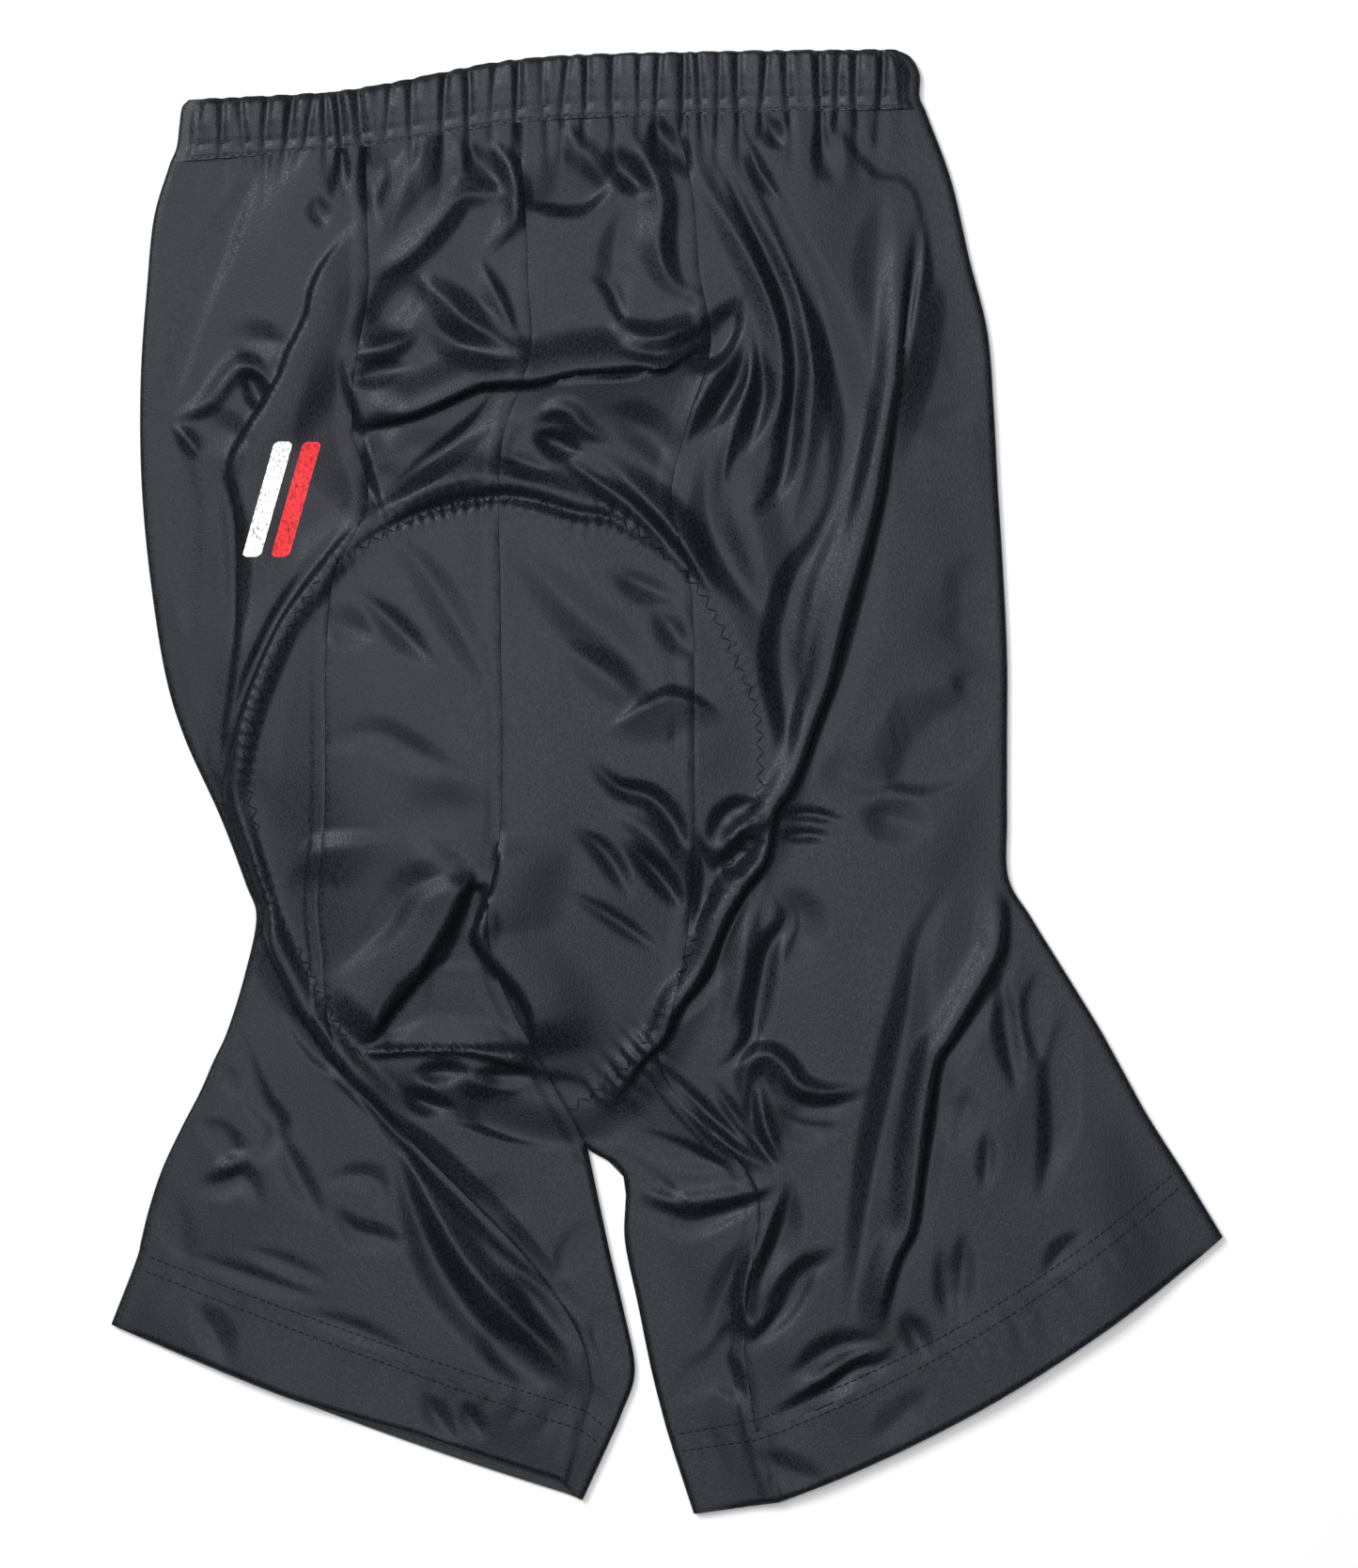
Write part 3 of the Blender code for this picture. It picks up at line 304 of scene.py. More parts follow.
    Fold("under the foot 4", -3.6, 12, 12, 1.5, ((560, 1160), (596, 1178), (628, 1200))),
    Fold("slope under the foot", -2.4, 10, 10, 1.6, ((490, 1160), (540, 1180), (590, 1190))),
    Fold("foot shadow", -4.4, 22, 4, 1.2,
         ((494, 1192), (552, 1204), (600, 1208), (640, 1209), (672, 1206))),
    Fold("left of the pad's foot", -2.6, 6, 5, 1.5,
         ((300, 1070), (322, 1094), (346, 1124), (372, 1150))),
    Fold("left leg crease", -3.4, 9, 5, 1.2,
         ((364, 1130), (408, 1190), (448, 1230), (508, 1290), (560, 1342), (600, 1380), (640, 1414))),
    Fold("left leg ridge", 3.4, 8, 8, 1.3,
         ((418, 1196), (436, 1236), (458, 1280), (500, 1345), (540, 1390), (576, 1426), (604, 1462),
          (612, 1492))),
    Fold("left leg wedge", -3.4, 7, 9, 1.5,
         ((424, 1214), (440, 1272), (468, 1346), (516, 1418), (566, 1476))),
    Fold("left leg black end", -2.6, 9, 9, 1.6, ((520, 1406), (546, 1440), (580, 1470))),
    Fold("beside the leg crease", -2.4, 8, 8, 1.6, ((540, 1352), (580, 1394), (624, 1440))),
    Fold("left leg diamond", -3.0, 7, 6, 1.3, ((596, 1356), (614, 1330), (642, 1298))),
    Fold("left leg's inner edge", -2.4, 7, 7, 1.6, ((634, 1396), (652, 1424), (668, 1450))),
    Fold("left leg knot", -1.4, 5.2, 5.2, 1.4, ((620, 1474), (634, 1492), (650, 1510))),
    Fold("left leg soft spot", -0.8, 10.4, 10.4, 1.8, ((510, 1262), (532, 1276), (552, 1284))),
    Fold("left leg corner", -1.4, 5.2, 6.5, 1.2, ((356, 1284), (378, 1308), (402, 1314), (434, 1322))),
    Fold("left leg corner 2", -1, 5.2, 5.2, 1.4, ((348, 1256), (378, 1250), (402, 1256), (408, 1284))),
    Fold("left leg star 1", -1.6, 5.2, 6.5, 1.2, ((214, 1196), (240, 1210), (256, 1236))),
    Fold("left leg star ridge", 1.8, 4, 4, 1.3, ((220, 1256), (244, 1240), (268, 1224))),
    Fold("left leg star 2", -1.6, 5.2, 7.8, 1.3, ((216, 1268), (244, 1256), (262, 1252), (274, 1276))),
    Fold("left leg's outer dark", -2.8, 8, 5, 1.4, ((164, 1256), (178, 1296), (196, 1336))),
    Fold("left leg's outer nick", -1.6, 4, 4, 1.4, ((232, 1136), (244, 1148), (252, 1164))),
    Fold("left leg bend", -1.8, 5, 6, 1.5,
         ((258, 1100), (274, 1164), (296, 1196), (284, 1226), (268, 1252))),
    Fold("left leg soft line", -1.3, 5, 6, 1.7, ((296, 1200), (316, 1246), (346, 1300))),
    Fold("over the left hem 1", -0.8, 3.9, 5.2, 1.3, ((204, 1334), (256, 1352), (346, 1382))),
    Fold("over the left hem 2", -0.7, 3.9, 5.2, 1.3, ((262, 1328), (300, 1340), (350, 1362))),
    Fold("over the left hem 3", -0.8, 3.9, 5.2, 1.3, ((326, 1396), (376, 1410), (436, 1438))),
    Fold("left hem crease 1", -1.3, 7.8, 6.5, 1.4, ((210, 1392), (226, 1412), (242, 1446))),
    Fold("left hem crease 2", -1.2, 5.2, 5.2, 1.3, ((452, 1484), (466, 1506), (484, 1530))),
    Fold("left hem crease 3", -1.2, 5.2, 5.2, 1.3, ((492, 1494), (502, 1510), (514, 1526))),
    Fold("dark trough on the thigh", -4.8, 5, 6, 1.0,
         ((822, 944), (836, 976), (818, 1012), (806, 1070), (796, 1110), (762, 1142))),
    Fold("soft side of that trough", -1.8, 10, 6, 1.6, ((838, 950), (852, 980), (838, 1020))),
    Fold("thigh ridge", 1.8, 7, 7, 1.6, ((800, 950), (792, 1000), (784, 1050), (770, 1096))),
    Fold("hook ridge", 3.2, 5, 9, 1.2,
         ((794, 1178), (791, 1146), (800, 1126), (818, 1120), (836, 1134), (852, 1154), (884, 1160),
          (922, 1152))),
    Fold("stem of the hook", 2.0, 4, 4, 1.2, ((808, 1146), (810, 1190), (832, 1236))),
    Fold("inside the hook", -2.4, 3, 4, 1.2, ((800, 1150), (804, 1196), (822, 1236))),
    Fold("hook hollow", -2.2, 4, 5, 1.2, ((828, 1146), (846, 1170), (880, 1176), (912, 1166))),
    Fold("slope under the hook", -1.8, 6, 8, 1.6, ((826, 1180), (850, 1196), (886, 1198))),
    Fold("crotch crease 1", -2.0, 3, 4, 1.1, ((692, 1122), (750, 1180), (800, 1228), (834, 1254))),
    Fold("crotch crease 2", -1.8, 3, 4, 1.1, ((756, 1146), (798, 1208), (834, 1250))),
    Fold("crotch ridge", 2.0, 4, 4, 1.2, ((726, 1176), (772, 1214), (806, 1234), (834, 1250))),
    Fold("crotch lens", -4.6, 4, 6, 1.0, ((645, 1200), (710, 1220), (780, 1242))),
    Fold("crotch crease 3", -1.6, 3, 4, 1.2, ((652, 1222), (694, 1252), (734, 1284))),
    Fold("ridge over the crease", 2.4, 5, 5, 1.3,
         ((668, 1262), (706, 1274), (744, 1276), (812, 1262), (832, 1252))),
    Fold("right leg crease", -4.6, 4, 5, 1.0,
         ((656, 1280), (700, 1290), (732, 1302), (776, 1288), (828, 1268))),
    Fold("hooking ridge", 2.4, 5, 5, 1.2,
         ((834, 1254), (816, 1304), (796, 1352), (792, 1392), (806, 1408), (846, 1362))),
    Fold("right of the hooking ridge", -2.4, 7, 5, 1.5, ((842, 1258), (832, 1310), (806, 1364))),
    Fold("left of the hooking ridge", -1.6, 4, 7, 1.5, ((808, 1310), (778, 1360), (750, 1430))),
    Fold("black diagonal", -5.0, 6, 7, 1.0, ((888, 1334), (858, 1352), (832, 1394), (798, 1434))),
    Fold("black triangle", -3.8, 8, 6, 1.3, ((718, 1488), (746, 1466), (768, 1462), (794, 1488))),
    Fold("leg's seam shadow", -2.0, 5, 6, 1.5, ((790, 1398), (772, 1430), (752, 1462))),
    Fold("beside the hip fold", -1.4, 6, 2.5, 1.2,
         ((1076, 950), (1074, 1020), (1036, 1084), (1004, 1130), (994, 1200), (974, 1300), (952, 1360),
          (948, 1430))),
    Fold("foot of the hip fold", -5.0, 5, 5, 1.0,
         ((956, 1424), (940, 1448), (906, 1458), (874, 1482), (818, 1508))),
    Fold("ridge over that foot", 2.0, 4, 4, 1.2, ((936, 1430), (904, 1446), (870, 1468), (826, 1492))),
    Fold("hollow over that ridge", -2.4, 6, 6, 1.5, ((930, 1424), (890, 1432), (842, 1462))),
    Fold("foot soft", -1.8, 6, 6, 1.6, ((962, 1400), (974, 1420), (986, 1440))),
    Fold("long trough on the leg", -3.0, 9, 9, 1.4,
         ((1012, 940), (980, 996), (966, 1080), (950, 1160), (930, 1250), (916, 1330), (904, 1412))),
    Fold("leg soft 1", -2.2, 5, 5, 1.4, ((1066, 1030), (1070, 1090), (1082, 1164))),
    Fold("leg soft 2", -2.4, 5, 5, 1.4, ((1116, 1022), (1100, 1070), (1106, 1134))),
    Fold("leg soft 3", -3.0, 8, 7, 1.4, ((1142, 1064), (1126, 1130), (1124, 1200), (1106, 1274))),
    Fold("leg soft 4", -0.9, 7.8, 7.8, 1.7, ((1032, 1164), (1022, 1190), (1016, 1214))),
    Fold("leg soft 5", -1.2, 4, 4, 1.5, ((1050, 1200), (1050, 1230), (1046, 1266))),
    Fold("leg soft 6", -1.6, 6, 6, 1.6, ((1028, 1310), (1022, 1360), (1020, 1410))),
    Fold("leg soft 7", -1.2, 4, 4, 1.6, ((1002, 1320), (1004, 1370), (1010, 1410))),
    Fold("over the right hem", -1.3, 5.2, 5.2, 1.3, ((1148, 1312), (1130, 1330), (1112, 1354))),
    Fold("right hem crease", -1, 6.5, 7.8, 1.5, ((808, 1546), (838, 1562), (876, 1572))),
    Fold("right hem crease 2", -0.9, 6.5, 7.8, 1.6, ((984, 1480), (960, 1506), (930, 1530))),
)

# A lip is a fold where one part of the cloth lies over the next. It rolls up over roll millimetres on its
# high side and drops within drop, reaching overlap past its own foot. side is 1 where the left is high.
Lip = namedtuple("Lip", "name height roll drop overlap side path")

LIPS = (
    Lip("tuck across the back", 6.0, 18, 3.2, 0.5, 1,
        ((378, 458), (417, 450), (445, 443), (472, 432), (498, 420), (519, 413), (570, 410), (611, 401),
         (639, 399), (677, 396), (710, 393), (740, 374), (760, 358))),
    Lip("fold round the pad's left", 3.4, 9, 4, 0.6, 1,
        ((401, 537), (358, 583), (318, 633), (299, 661), (282, 696), (267, 732), (255, 768), (246, 805),
         (239, 838), (241, 864), (259, 923), (273, 973), (288, 1011), (303, 1043), (317, 1072),
         (335, 1102), (364, 1137), (405, 1178), (452, 1228))),
    Lip("slanting fold on the left hip", 3.0, 22, 5, 0.7, 1,
        ((390, 219), (372, 246), (347, 278), (333, 306), (325, 339), (306, 378), (297, 402), (273, 441),
         (251, 478), (244, 505), (251, 543), (254, 600), (253, 680), (246, 740), (238, 791), (234, 835),
         (242, 877))),
    Lip("long fold on the right hip", 4.4, 10, 4.0, 0.65, -1,
        ((975, 224), (970, 260), (963, 330), (957, 400), (951, 440), (945, 480), (937, 530), (925, 580),
         (900, 665), (885, 725), (870, 768), (854, 814), (841, 843), (826, 866), (815, 916), (794, 947),
         (773, 982), (753, 1037), (725, 1071), (708, 1106), (687, 1126), (663, 1161), (646, 1188),
         (636, 1212))),
    Lip("hip fold over the right leg", 3.6, 10, 4.4, 0.65, -1,
        ((1072, 926), (1068, 1000), (1055, 1034), (1034, 1070), (1012, 1108), (998, 1130), (987, 1192),
         (980, 1250), (973, 1305), (955, 1341), (941, 1390), (938, 1430))),
    Lip("left flap of the opening", 3.8, 28, 3.6, 0.5, -1,
        ((515, 924), (493, 952), (479, 984), (464, 1011), (449, 1037), (429, 1063), (405, 1090),
         (385, 1113))),
    Lip("right flap of the opening", 3.2, 30, 2.4, 0.35, 1,
        ((530, 880), (528, 930), (514, 970), (505, 996), (517, 1017), (531, 1037), (552, 1063),
         (564, 1084), (571, 1128))),
    Lip("pad foot over the legs", 2.4, 14, 3.0, 0.4, 1,
        ((384, 1124), (435, 1119), (493, 1119), (523, 1126), (552, 1134), (574, 1134))),
)

# A hollow or a raised field inside an outline of pixels; soft is the width of its edge in millimetres.
Field = namedtuple("Field", "name height soft outline")

FIELDS = (
    Field("hollow at the pad's foot", -6.5, 3,
          ((472, 1024), (486, 980), (504, 944), (516, 944), (512, 970), (503, 996), (516, 1024))),
    Field("floor of the opening", -2.8, 4,
          ((390, 1114), (430, 1062), (464, 1022), (514, 1022), (548, 1064), (568, 1114))),
)

Pucker = namedtuple("Pucker", "name height period reach path")

PUCKERS = (
    Pucker("round the pad's top", 0.85, 4.6, 5, PAD_STITCHES[:11]),
    Pucker("round the pad's right", 0.45, 4.2, 3.0, PAD_STITCHES[10:]),
    Pucker("round the pad's left", 0.5, 4.4, 3.0, PAD_STITCHES_LEFT),
    Pucker("foot gathers", 0.8, 6.0, 9, ((700, 1104), (674, 1132), (646, 1160), (612, 1186))),
    Pucker("below the fold", 0.6, 7.0, 7, ((800, 880), (778, 920), (760, 960))),
    Pucker("left hem", 0.25, 11.0, 7, ((150, 1345), (285, 1402), (433, 1452), (646, 1532))),
    Pucker("right hem", 0.25, 10.0, 7,
           ((720, 1548), (866, 1518), (1022, 1446), (1156, 1350), (1260, 1262))),
)


class ClothSizes(bpy.types.PropertyGroup):
    """Sizes of the cloth, in millimetres."""

    step: FloatProperty(name="Mesh step",
                        description="Spacing of the cloth mesh, in millimetres", default=1.35)
    wall: FloatProperty(name="Cloth thickness",
                        description="Thickness of the knit, in millimetres", default=0.9)
    slack: FloatProperty(name="Slack",
                         description="Air under the upper layer, in millimetres", default=3.2)
    folds: FloatProperty(name="Fold height",
                         description="Multiplies the height of every fold", default=1.0)
    fold_width: FloatProperty(name="Fold width",
                              description="Multiplies the width of every fold", default=1.12)
    unevenness: FloatProperty(name="Unevenness",
                              description="Height of the cloth's own waves, in millimetres",
                              default=0.34)
    seam_depth: FloatProperty(name="Seam depth", description="Depth of the seam grooves, in millimetres",
                              default=0.28)
    thread: FloatProperty(name="Thread",
                          description="Thickness of the sewing thread, in millimetres", default=0.5)


class ClothColours(bpy.types.PropertyGroup):
    """Colours of the cloth and of the mark on the hip."""

    cloth: FloatVectorProperty(name="Cloth", description="Colour of the knit", subtype="COLOR", size=3,
                               default=(0.0058, 0.0066, 0.0092))
    casing: FloatVectorProperty(name="Casing",
                                description="Colour of the waist casing", subtype="COLOR", size=3,
                                default=(0.0070, 0.0079, 0.0108))
    pad: FloatVectorProperty(name="Pad", description="Colour of the seat pad", subtype="COLOR", size=3,
                             default=(0.030, 0.031, 0.034))
    thread: FloatVectorProperty(name="Thread",
                                description="Colour of the sewing thread", subtype="COLOR", size=3,
                                default=(0.006, 0.006, 0.008))
    mark_light: FloatVectorProperty(name="Light mark",
                                    description="Colour of the light bar", subtype="COLOR",
                                    size=3, default=(0.82, 0.82, 0.80))
    mark_red: FloatVectorProperty(name="Red mark",
                                  description="Colour of the red bar", subtype="COLOR", size=3,
                                  default=(0.62, 0.018, 0.022))


LOWER = 1.0
LAYER_AIR = 0.35
EDGE_REACH = 60.0
FOLD_REACH = 9.0
LEAST_LOOSE = 0.15
LOOSE_SOFTNESS = 0.35
PAD_INSET = 4.0
PAD_EDGE = 1.6
PAD_RISE = 4.6
PAD_POWER = 1.3
PAD_HOLD = 3.0
PAD_FALL = 18.0
PAD_CLEARANCE = 0.5
EDGE_ROUND = 3.4
INNER_ROUND = 2.6
FRONT_SHARE = 0.75
UNDER_STEP = 6.0
SEAM_HALF_WIDTH = 1.3
ALLOWANCE_WIDTH = 6.0
ALLOWANCE_HEIGHT = 0.35
SEAM_AIR = 0.06
FOLD_TIP = 0.44
FOLD_RUN_OUT = 0.5
STEEPEST = 0.6
HEM_STEP = {"left": 4.0, "right": 0.0}
HEM_ROUND = 1.1
SHARP_FROM = 72.0
WAVES = 26
WAVE_LENGTHS = (30.0, 110.0)
WAVE_HEADINGS = (0.15, 0.85)
WAVE_POWER = 0.9
SEED = 11

UPPER_FLOOR = LOWER + 0.1
UPPER_LEAST = 2 * LOWER + LAYER_AIR
LEAST_WALL = 0.3
RAISED_FROM = 7.0
OUTLINE_TURNS = 8
SEAM_TURNS = 6
SEAM_MARGIN = 2.0
GROOVE_POWER = 1.5
ALLOWANCE_EDGE = 1.8
SEAM_PUCKER = 0.3
SEAM_PUCKER_LENGTHS = (2.1, 7.7)
FOLD_END_WIDTH = 0.4
CREST_POWER = 0.5
FOOT_POWER = 0.5
FOOT_SPREAD = 0.65
LIP_TAPER = (0.16, 2.0)
HEM_LEVELS = 20
HEM_LIFT_FROM = 0.35
HEM_LIFT_END = 0.06
HEM_DROP = 0.9
HEM_DROP_FROM = 2.4

# Each sway of a pucker row: size and length as shares of the period, and where it starts.
PUCKER_SWAYS = ((0.22, 1.7, 0.0), (0.3, 4.1, 1.0))
PUCKER_SLANT = 0.12
PUCKER_FADE = 2.4
PUCKER_STRENGTH = 0.65
PUCKER_BEAT = 2.3
PUCKER_BEAT_START = 2.0
PUCKER_DIP = 1.2
PUCKER_SEAM = 1.5
PUCKER_HOLD = 0.3
PUCKER_TAPER = (0.05, 0.0)
WAIST_PUCKER_START = 4.0
WAIST_PUCKER_END = 6.0
WAIST_PUCKER_LEAN = 1.6
WAIST_PUCKER_REACH = 6.0
WAIST_PUCKER_WIDTH = 2.0
WAIST_PUCKER_SPREAD = 0.11
WAIST_PUCKER_POWER = 1.5
WAIST_PUCKER_DEPTH = 1.15

GATHER_LEAN_FROM = 0.2
GATHER_SWAY = 0.5
GATHER_TURNS = 3.0
GATHER_WIDTH = 1.25
GATHER_POWER = 1.3
RIPPLE_LENGTHS = (1.35, 5.3)
RIPPLE_LEAN = 2.0
RIPPLE_START = 1.0
RIPPLE_HEIGHT = 0.16
WAIST_TURNS = 8
CASING_LINES = 27
CASING_STEP = 0.8
CASING_END = 0.02
CASING_END_RISE = 0.6
CASING_ROWS = (0.12, 1.0)
CASING_ROW_WIDTH = 0.22
CASING_ROW_DEPTH = 0.55
SCALLOP = 0.45
SCALLOP_POWER = 3

PAD_MIDDLE = 0.02
PAD_CLOTH_AIR = 0.4
PAD_AIR = 0.2
PAD_LEAST = 0.4
CHANNELS = (-105, -62, -19)
CHANNEL_HALF_WIDTH = 4.0
CHANNEL_DEPTH = 1.4
CHANNEL_FADE = 0.3


def sizes():
    return bpy.context.scene.shorts_sizes


def colours():
    return bpy.context.scene.shorts_colours


def on_garment(path):
    """Millimetres on the garment from pixels of the photograph."""
    return np.asarray(path, float) * (PHOTO_SCALE, -PHOTO_SCALE) + (PHOTO_LEFT, PHOTO_TOP)


def ease(value):
    value = np.clip(value, 0.0, 1.0)
    return value * value * (3.0 - 2.0 * value)


def smooth_curve(points, at):
    """Points of a Catmull-Rom curve: position 2.5 is half way from the third point to the fourth."""
    points = np.asarray(points, float)
    padded = np.vstack([2 * points[0] - points[1], points, 2 * points[-1] - points[-2]])
    at = np.asarray(at, float)
    start = np.clip(at.astype(int), 0, len(points) - 2)
    part = (at - start)[:, None]
    before, first, second, after = (padded[start + step] for step in range(4))
    return 0.5 * (
        2 * first
        + (second - before) * part
        + (2 * before - 5 * first + 4 * second - after) * part**2
        + (3 * first - 3 * second + after - before) * part**3
    )


def smooth_path(path, turns=5):
    return smooth_curve(path, np.linspace(0, len(path) - 1, turns * (len(path) - 1) + 1))


def column(sections, name, levels):
    """One column of the section table along the garment. The centre turns a corner at the crotch."""
    values = np.array([getattr(section, name) for section in sections], float)
    if values.ndim == 1:
        return np.interp(levels, range(len(values)), values)
    values = values + CENTRING
    if name != "centre":
        return smooth_curve(values, levels)
    body = smooth_curve(values[: CROTCH + 1], np.minimum(levels, CROTCH))
    leg = smooth_curve(values[CROTCH:], np.maximum(levels - CROTCH, 0))
    return np.where((levels <= CROTCH)[:, None], body, leg)


def length_along(path):
    return np.concatenate([[0.0], np.cumsum(np.hypot(*np.diff(path, axis=0).T))])


def section_levels(first, last, step):
    """Levels about a step apart, the same for both halves so that they meet along the centre seam."""
    levels = [float(first)]
    for start in range(first, last):
        ends = np.array([start, start + 1.0])
        spans = [float(np.hypot(*np.diff(column(table, name, ends), axis=0)[0]))
                 for table in (LEFT_SECTIONS, RIGHT_SECTIONS) for name in ("outer", "centre")]
        count = max(1, round(sum(spans) / len(spans) / step))
        levels += [start + (turn + 1) / count for turn in range(count)]
    return np.array(levels)


class Half:
    """One half of the garment in plan: rows of sections from the waist to the hem."""

    def __init__(self, sections, levels):
        self.outer = column(sections, "outer", levels)
        self.seam = column(sections, "seam", levels)
        self.centre = column(sections, "centre", levels)
        self.bow = column(sections, "bow", levels)
        self.side_width = np.hypot(*(self.seam - self.outer).T)
        self.centre_width = np.hypot(*(self.centre - self.seam).T)
        self.width = self.side_width + self.centre_width

    def plan(self, distance):
        share = np.clip(distance / self.side_width[:, None], 0.0, 1.0)[..., None]
        chord = (self.seam - self.outer)[:, None]
        normal = np.stack([chord[..., 1], -chord[..., 0]], axis=-1)
        normal = normal / np.hypot(chord[..., 0], chord[..., 1])[..., None]
        normal = np.where(normal[..., 1:] > 0, -normal, normal)
        bowed = 4 * share * (1 - share) * normal * self.bow[:, None, None]
        side = self.outer[:, None] + share * chord + bowed
        past_seam = (distance - self.side_width[:, None]) / self.centre_width[:, None]
        over = np.clip(past_seam, 0.0, 1.0)[..., None]
        return side + over * (self.centre - self.seam)[:, None]


def away_from(path, points):
    """Distance of each point from a path, how far along it that is, which side, and the way off it."""
    start = path[:-1]
    step = path[1:] - start
    size = np.maximum(np.hypot(*step.T), 1e-6)
    offset = points[:, None, :] - start
    share = np.clip((offset * step).sum(-1) / size**2, 0.0, 1.0)
    miss = offset - share[..., None] * step
    distance = np.hypot(miss[..., 0], miss[..., 1])
    nearest = distance.argmin(axis=1)
    rows = np.arange(len(points))
    turn = step[nearest, 0] * offset[rows, nearest, 1] - step[nearest, 1] * offset[rows, nearest, 0]
    travelled = length_along(path)[nearest] + share[rows, nearest] * size[nearest]
    across = np.stack([-step[nearest, 1], step[nearest, 0]], axis=1) / size[nearest][:, None]
    return distance[rows, nearest], travelled, turn > 0, across


def near(path, points, reach):
    """Which points lie in the box round a path that is wider than it by a reach."""
    low = path.min(axis=0) - reach
    high = path.max(axis=0) + reach
    return np.flatnonzero(((points > low) & (points < high)).all(axis=1))


def end_taper(travelled, full, share, width):
    return ease((np.minimum(travelled, full - travelled) / share + width) / full)


def lengthened(path, by):
    """The path with both ends moved outward, so that a fold can fade out past its drawn ends."""
    ends = [path[end] + by * (path[end] - path[end - way]) / np.hypot(*(path[end] - path[end - way]))
            for end, way in ((0, -1), (-1, 1))]
    return np.vstack([ends[0], path[1:-1], ends[1]])


def fold_profile(share, power):
    """Height across a fold, 1 on its path and 0 at its edge."""
    crest = CREST_POWER * (1 + power)
    return np.clip(1 - share**crest, 0.0, 1.0) ** (FOOT_POWER + FOOT_SPREAD * crest)


def add_folds(points, heights):
    for fold in FOLDS:
        reach = sizes().fold_width * max(fold.left, fold.right)
        path = smooth_path(lengthened(on_garment(fold.path), FOLD_RUN_OUT * reach))
        close = near(path, points, reach)
        if not len(close):
            continue
        distance, travelled, on_left, _ = away_from(path, points[close])
        full = length_along(path)[-1]
        taper = ease(np.minimum(travelled, full - travelled) / (FOLD_TIP * full))
        half_width = sizes().fold_width * np.where(on_left, fold.left, fold.right)
        width = half_width * (FOLD_END_WIDTH + (1 - FOLD_END_WIDTH) * taper)
        height = math.copysign(min(abs(fold.height), STEEPEST * reach), fold.height)
        heights[close] += height * fold_profile(distance / width, fold.power) * taper


def add_lips(points, heights, shifts):
    """Rolls the high side up to the edge, drops past it and pushes the edge over its own foot."""
    for lip in LIPS:
        path = smooth_path(on_garment(lip.path))
        close = near(path, points, lip.roll + lip.drop)
        if not len(close):
            continue
        distance, travelled, on_left, across = away_from(path, points[close])
        high = on_left if lip.side > 0 else ~on_left
        signed = np.where(high, -distance, distance)
        taper = end_taper(travelled, length_along(path)[-1], *LIP_TAPER)
        half = 0.5 * lip.drop
        rise = np.clip(1 - ((signed + half) / lip.roll) ** 2, 0.0, 1.0) ** 2
        fall = 1 - ease((signed + half) / lip.drop)
        heights[close] += lip.height * taper * np.where(signed < -half, rise, fall)
        turn = np.clip(signed / half, -1.0, 1.0)
        push = -lip.overlap * np.sin(math.pi * turn) * taper
        shifts[close] += (push * -lip.side)[:, None] * across


def inside(outline, points):
    """True where a point lies inside a closed outline."""
    found = np.zeros(len(points), bool)
    for first, second in zip(outline, np.roll(outline, -1, axis=0)):
        crosses = (first[1] > points[:, 1]) != (second[1] > points[:, 1])
        run = (second[0] - first[0]) * (points[:, 1] - first[1]) / (second[1] - first[1] + 1e-9) + first[0]
        found ^= crosses & (points[:, 0] < run)
    return found


def add_fields(points, heights):
    for field in FIELDS:
        outline = on_garment(field.outline)
        closed = np.vstack([outline, outline[:1]])
        close = near(closed, points, field.soft)
        if not len(close):
            continue
        distance = away_from(closed, points[close])[0]
        signed = np.where(inside(outline, points[close]), distance, -distance)
        heights[close] += field.height * ease(0.5 + signed / field.soft)


def add_puckers(points, heights):
    for pucker in PUCKERS:
        path = smooth_path(on_garment(pucker.path))
        close = near(path, points, PUCKER_FADE * pucker.reach)
        if not len(close):
            continue
        distance, travelled, _, _ = away_from(path, points[close])
        swing = travelled + PUCKER_SLANT * distance
        for size, length, phase in PUCKER_SWAYS:
            swing += size * pucker.period * np.sin(travelled / (length * pucker.period) + phase)
        beat = np.sin(travelled / (PUCKER_BEAT * pucker.period) + PUCKER_BEAT_START)
        strength = PUCKER_STRENGTH + (1 - PUCKER_STRENGTH) * beat
        wave = np.abs(np.sin(math.pi * swing / pucker.period)) * 2 - PUCKER_DIP
        fade = np.exp(-((distance / pucker.reach) ** 2)) * ease(distance / PUCKER_SEAM + PUCKER_HOLD)
        taper = end_taper(travelled, length_along(path)[-1], *PUCKER_TAPER)
        heights[close] += pucker.height * strength * wave * fade * taper


def add_waist_puckers(points, heights):
    """Folds that run down into the panels from each gather of the casing."""
    row = waist_path("lower row")
    for gather in GATHERS:
        start = np.array([gather.x, np.interp(gather.x, row[:, 0], row[:, 1]) + WAIST_PUCKER_START])
        middle = start - (0.5 * gather.lean, 0.5 * gather.length)
        end = start - (WAIST_PUCKER_LEAN * gather.lean, gather.length + WAIST_PUCKER_END)
        path = smooth_path([start, middle, end])
        close = near(path, points, WAIST_PUCKER_REACH)
        if not len(close):
            continue
        distance, travelled, _, _ = away_from(path, points[close])
        width = WAIST_PUCKER_WIDTH + WAIST_PUCKER_SPREAD * travelled
        across = np.clip(1 - (distance / width) ** WAIST_PUCKER_POWER, 0.0, 1.0) ** 2
        fade = 1 - ease(travelled / length_along(path)[-1])
        heights[close] -= WAIST_PUCKER_DEPTH * gather.depth * across * fade


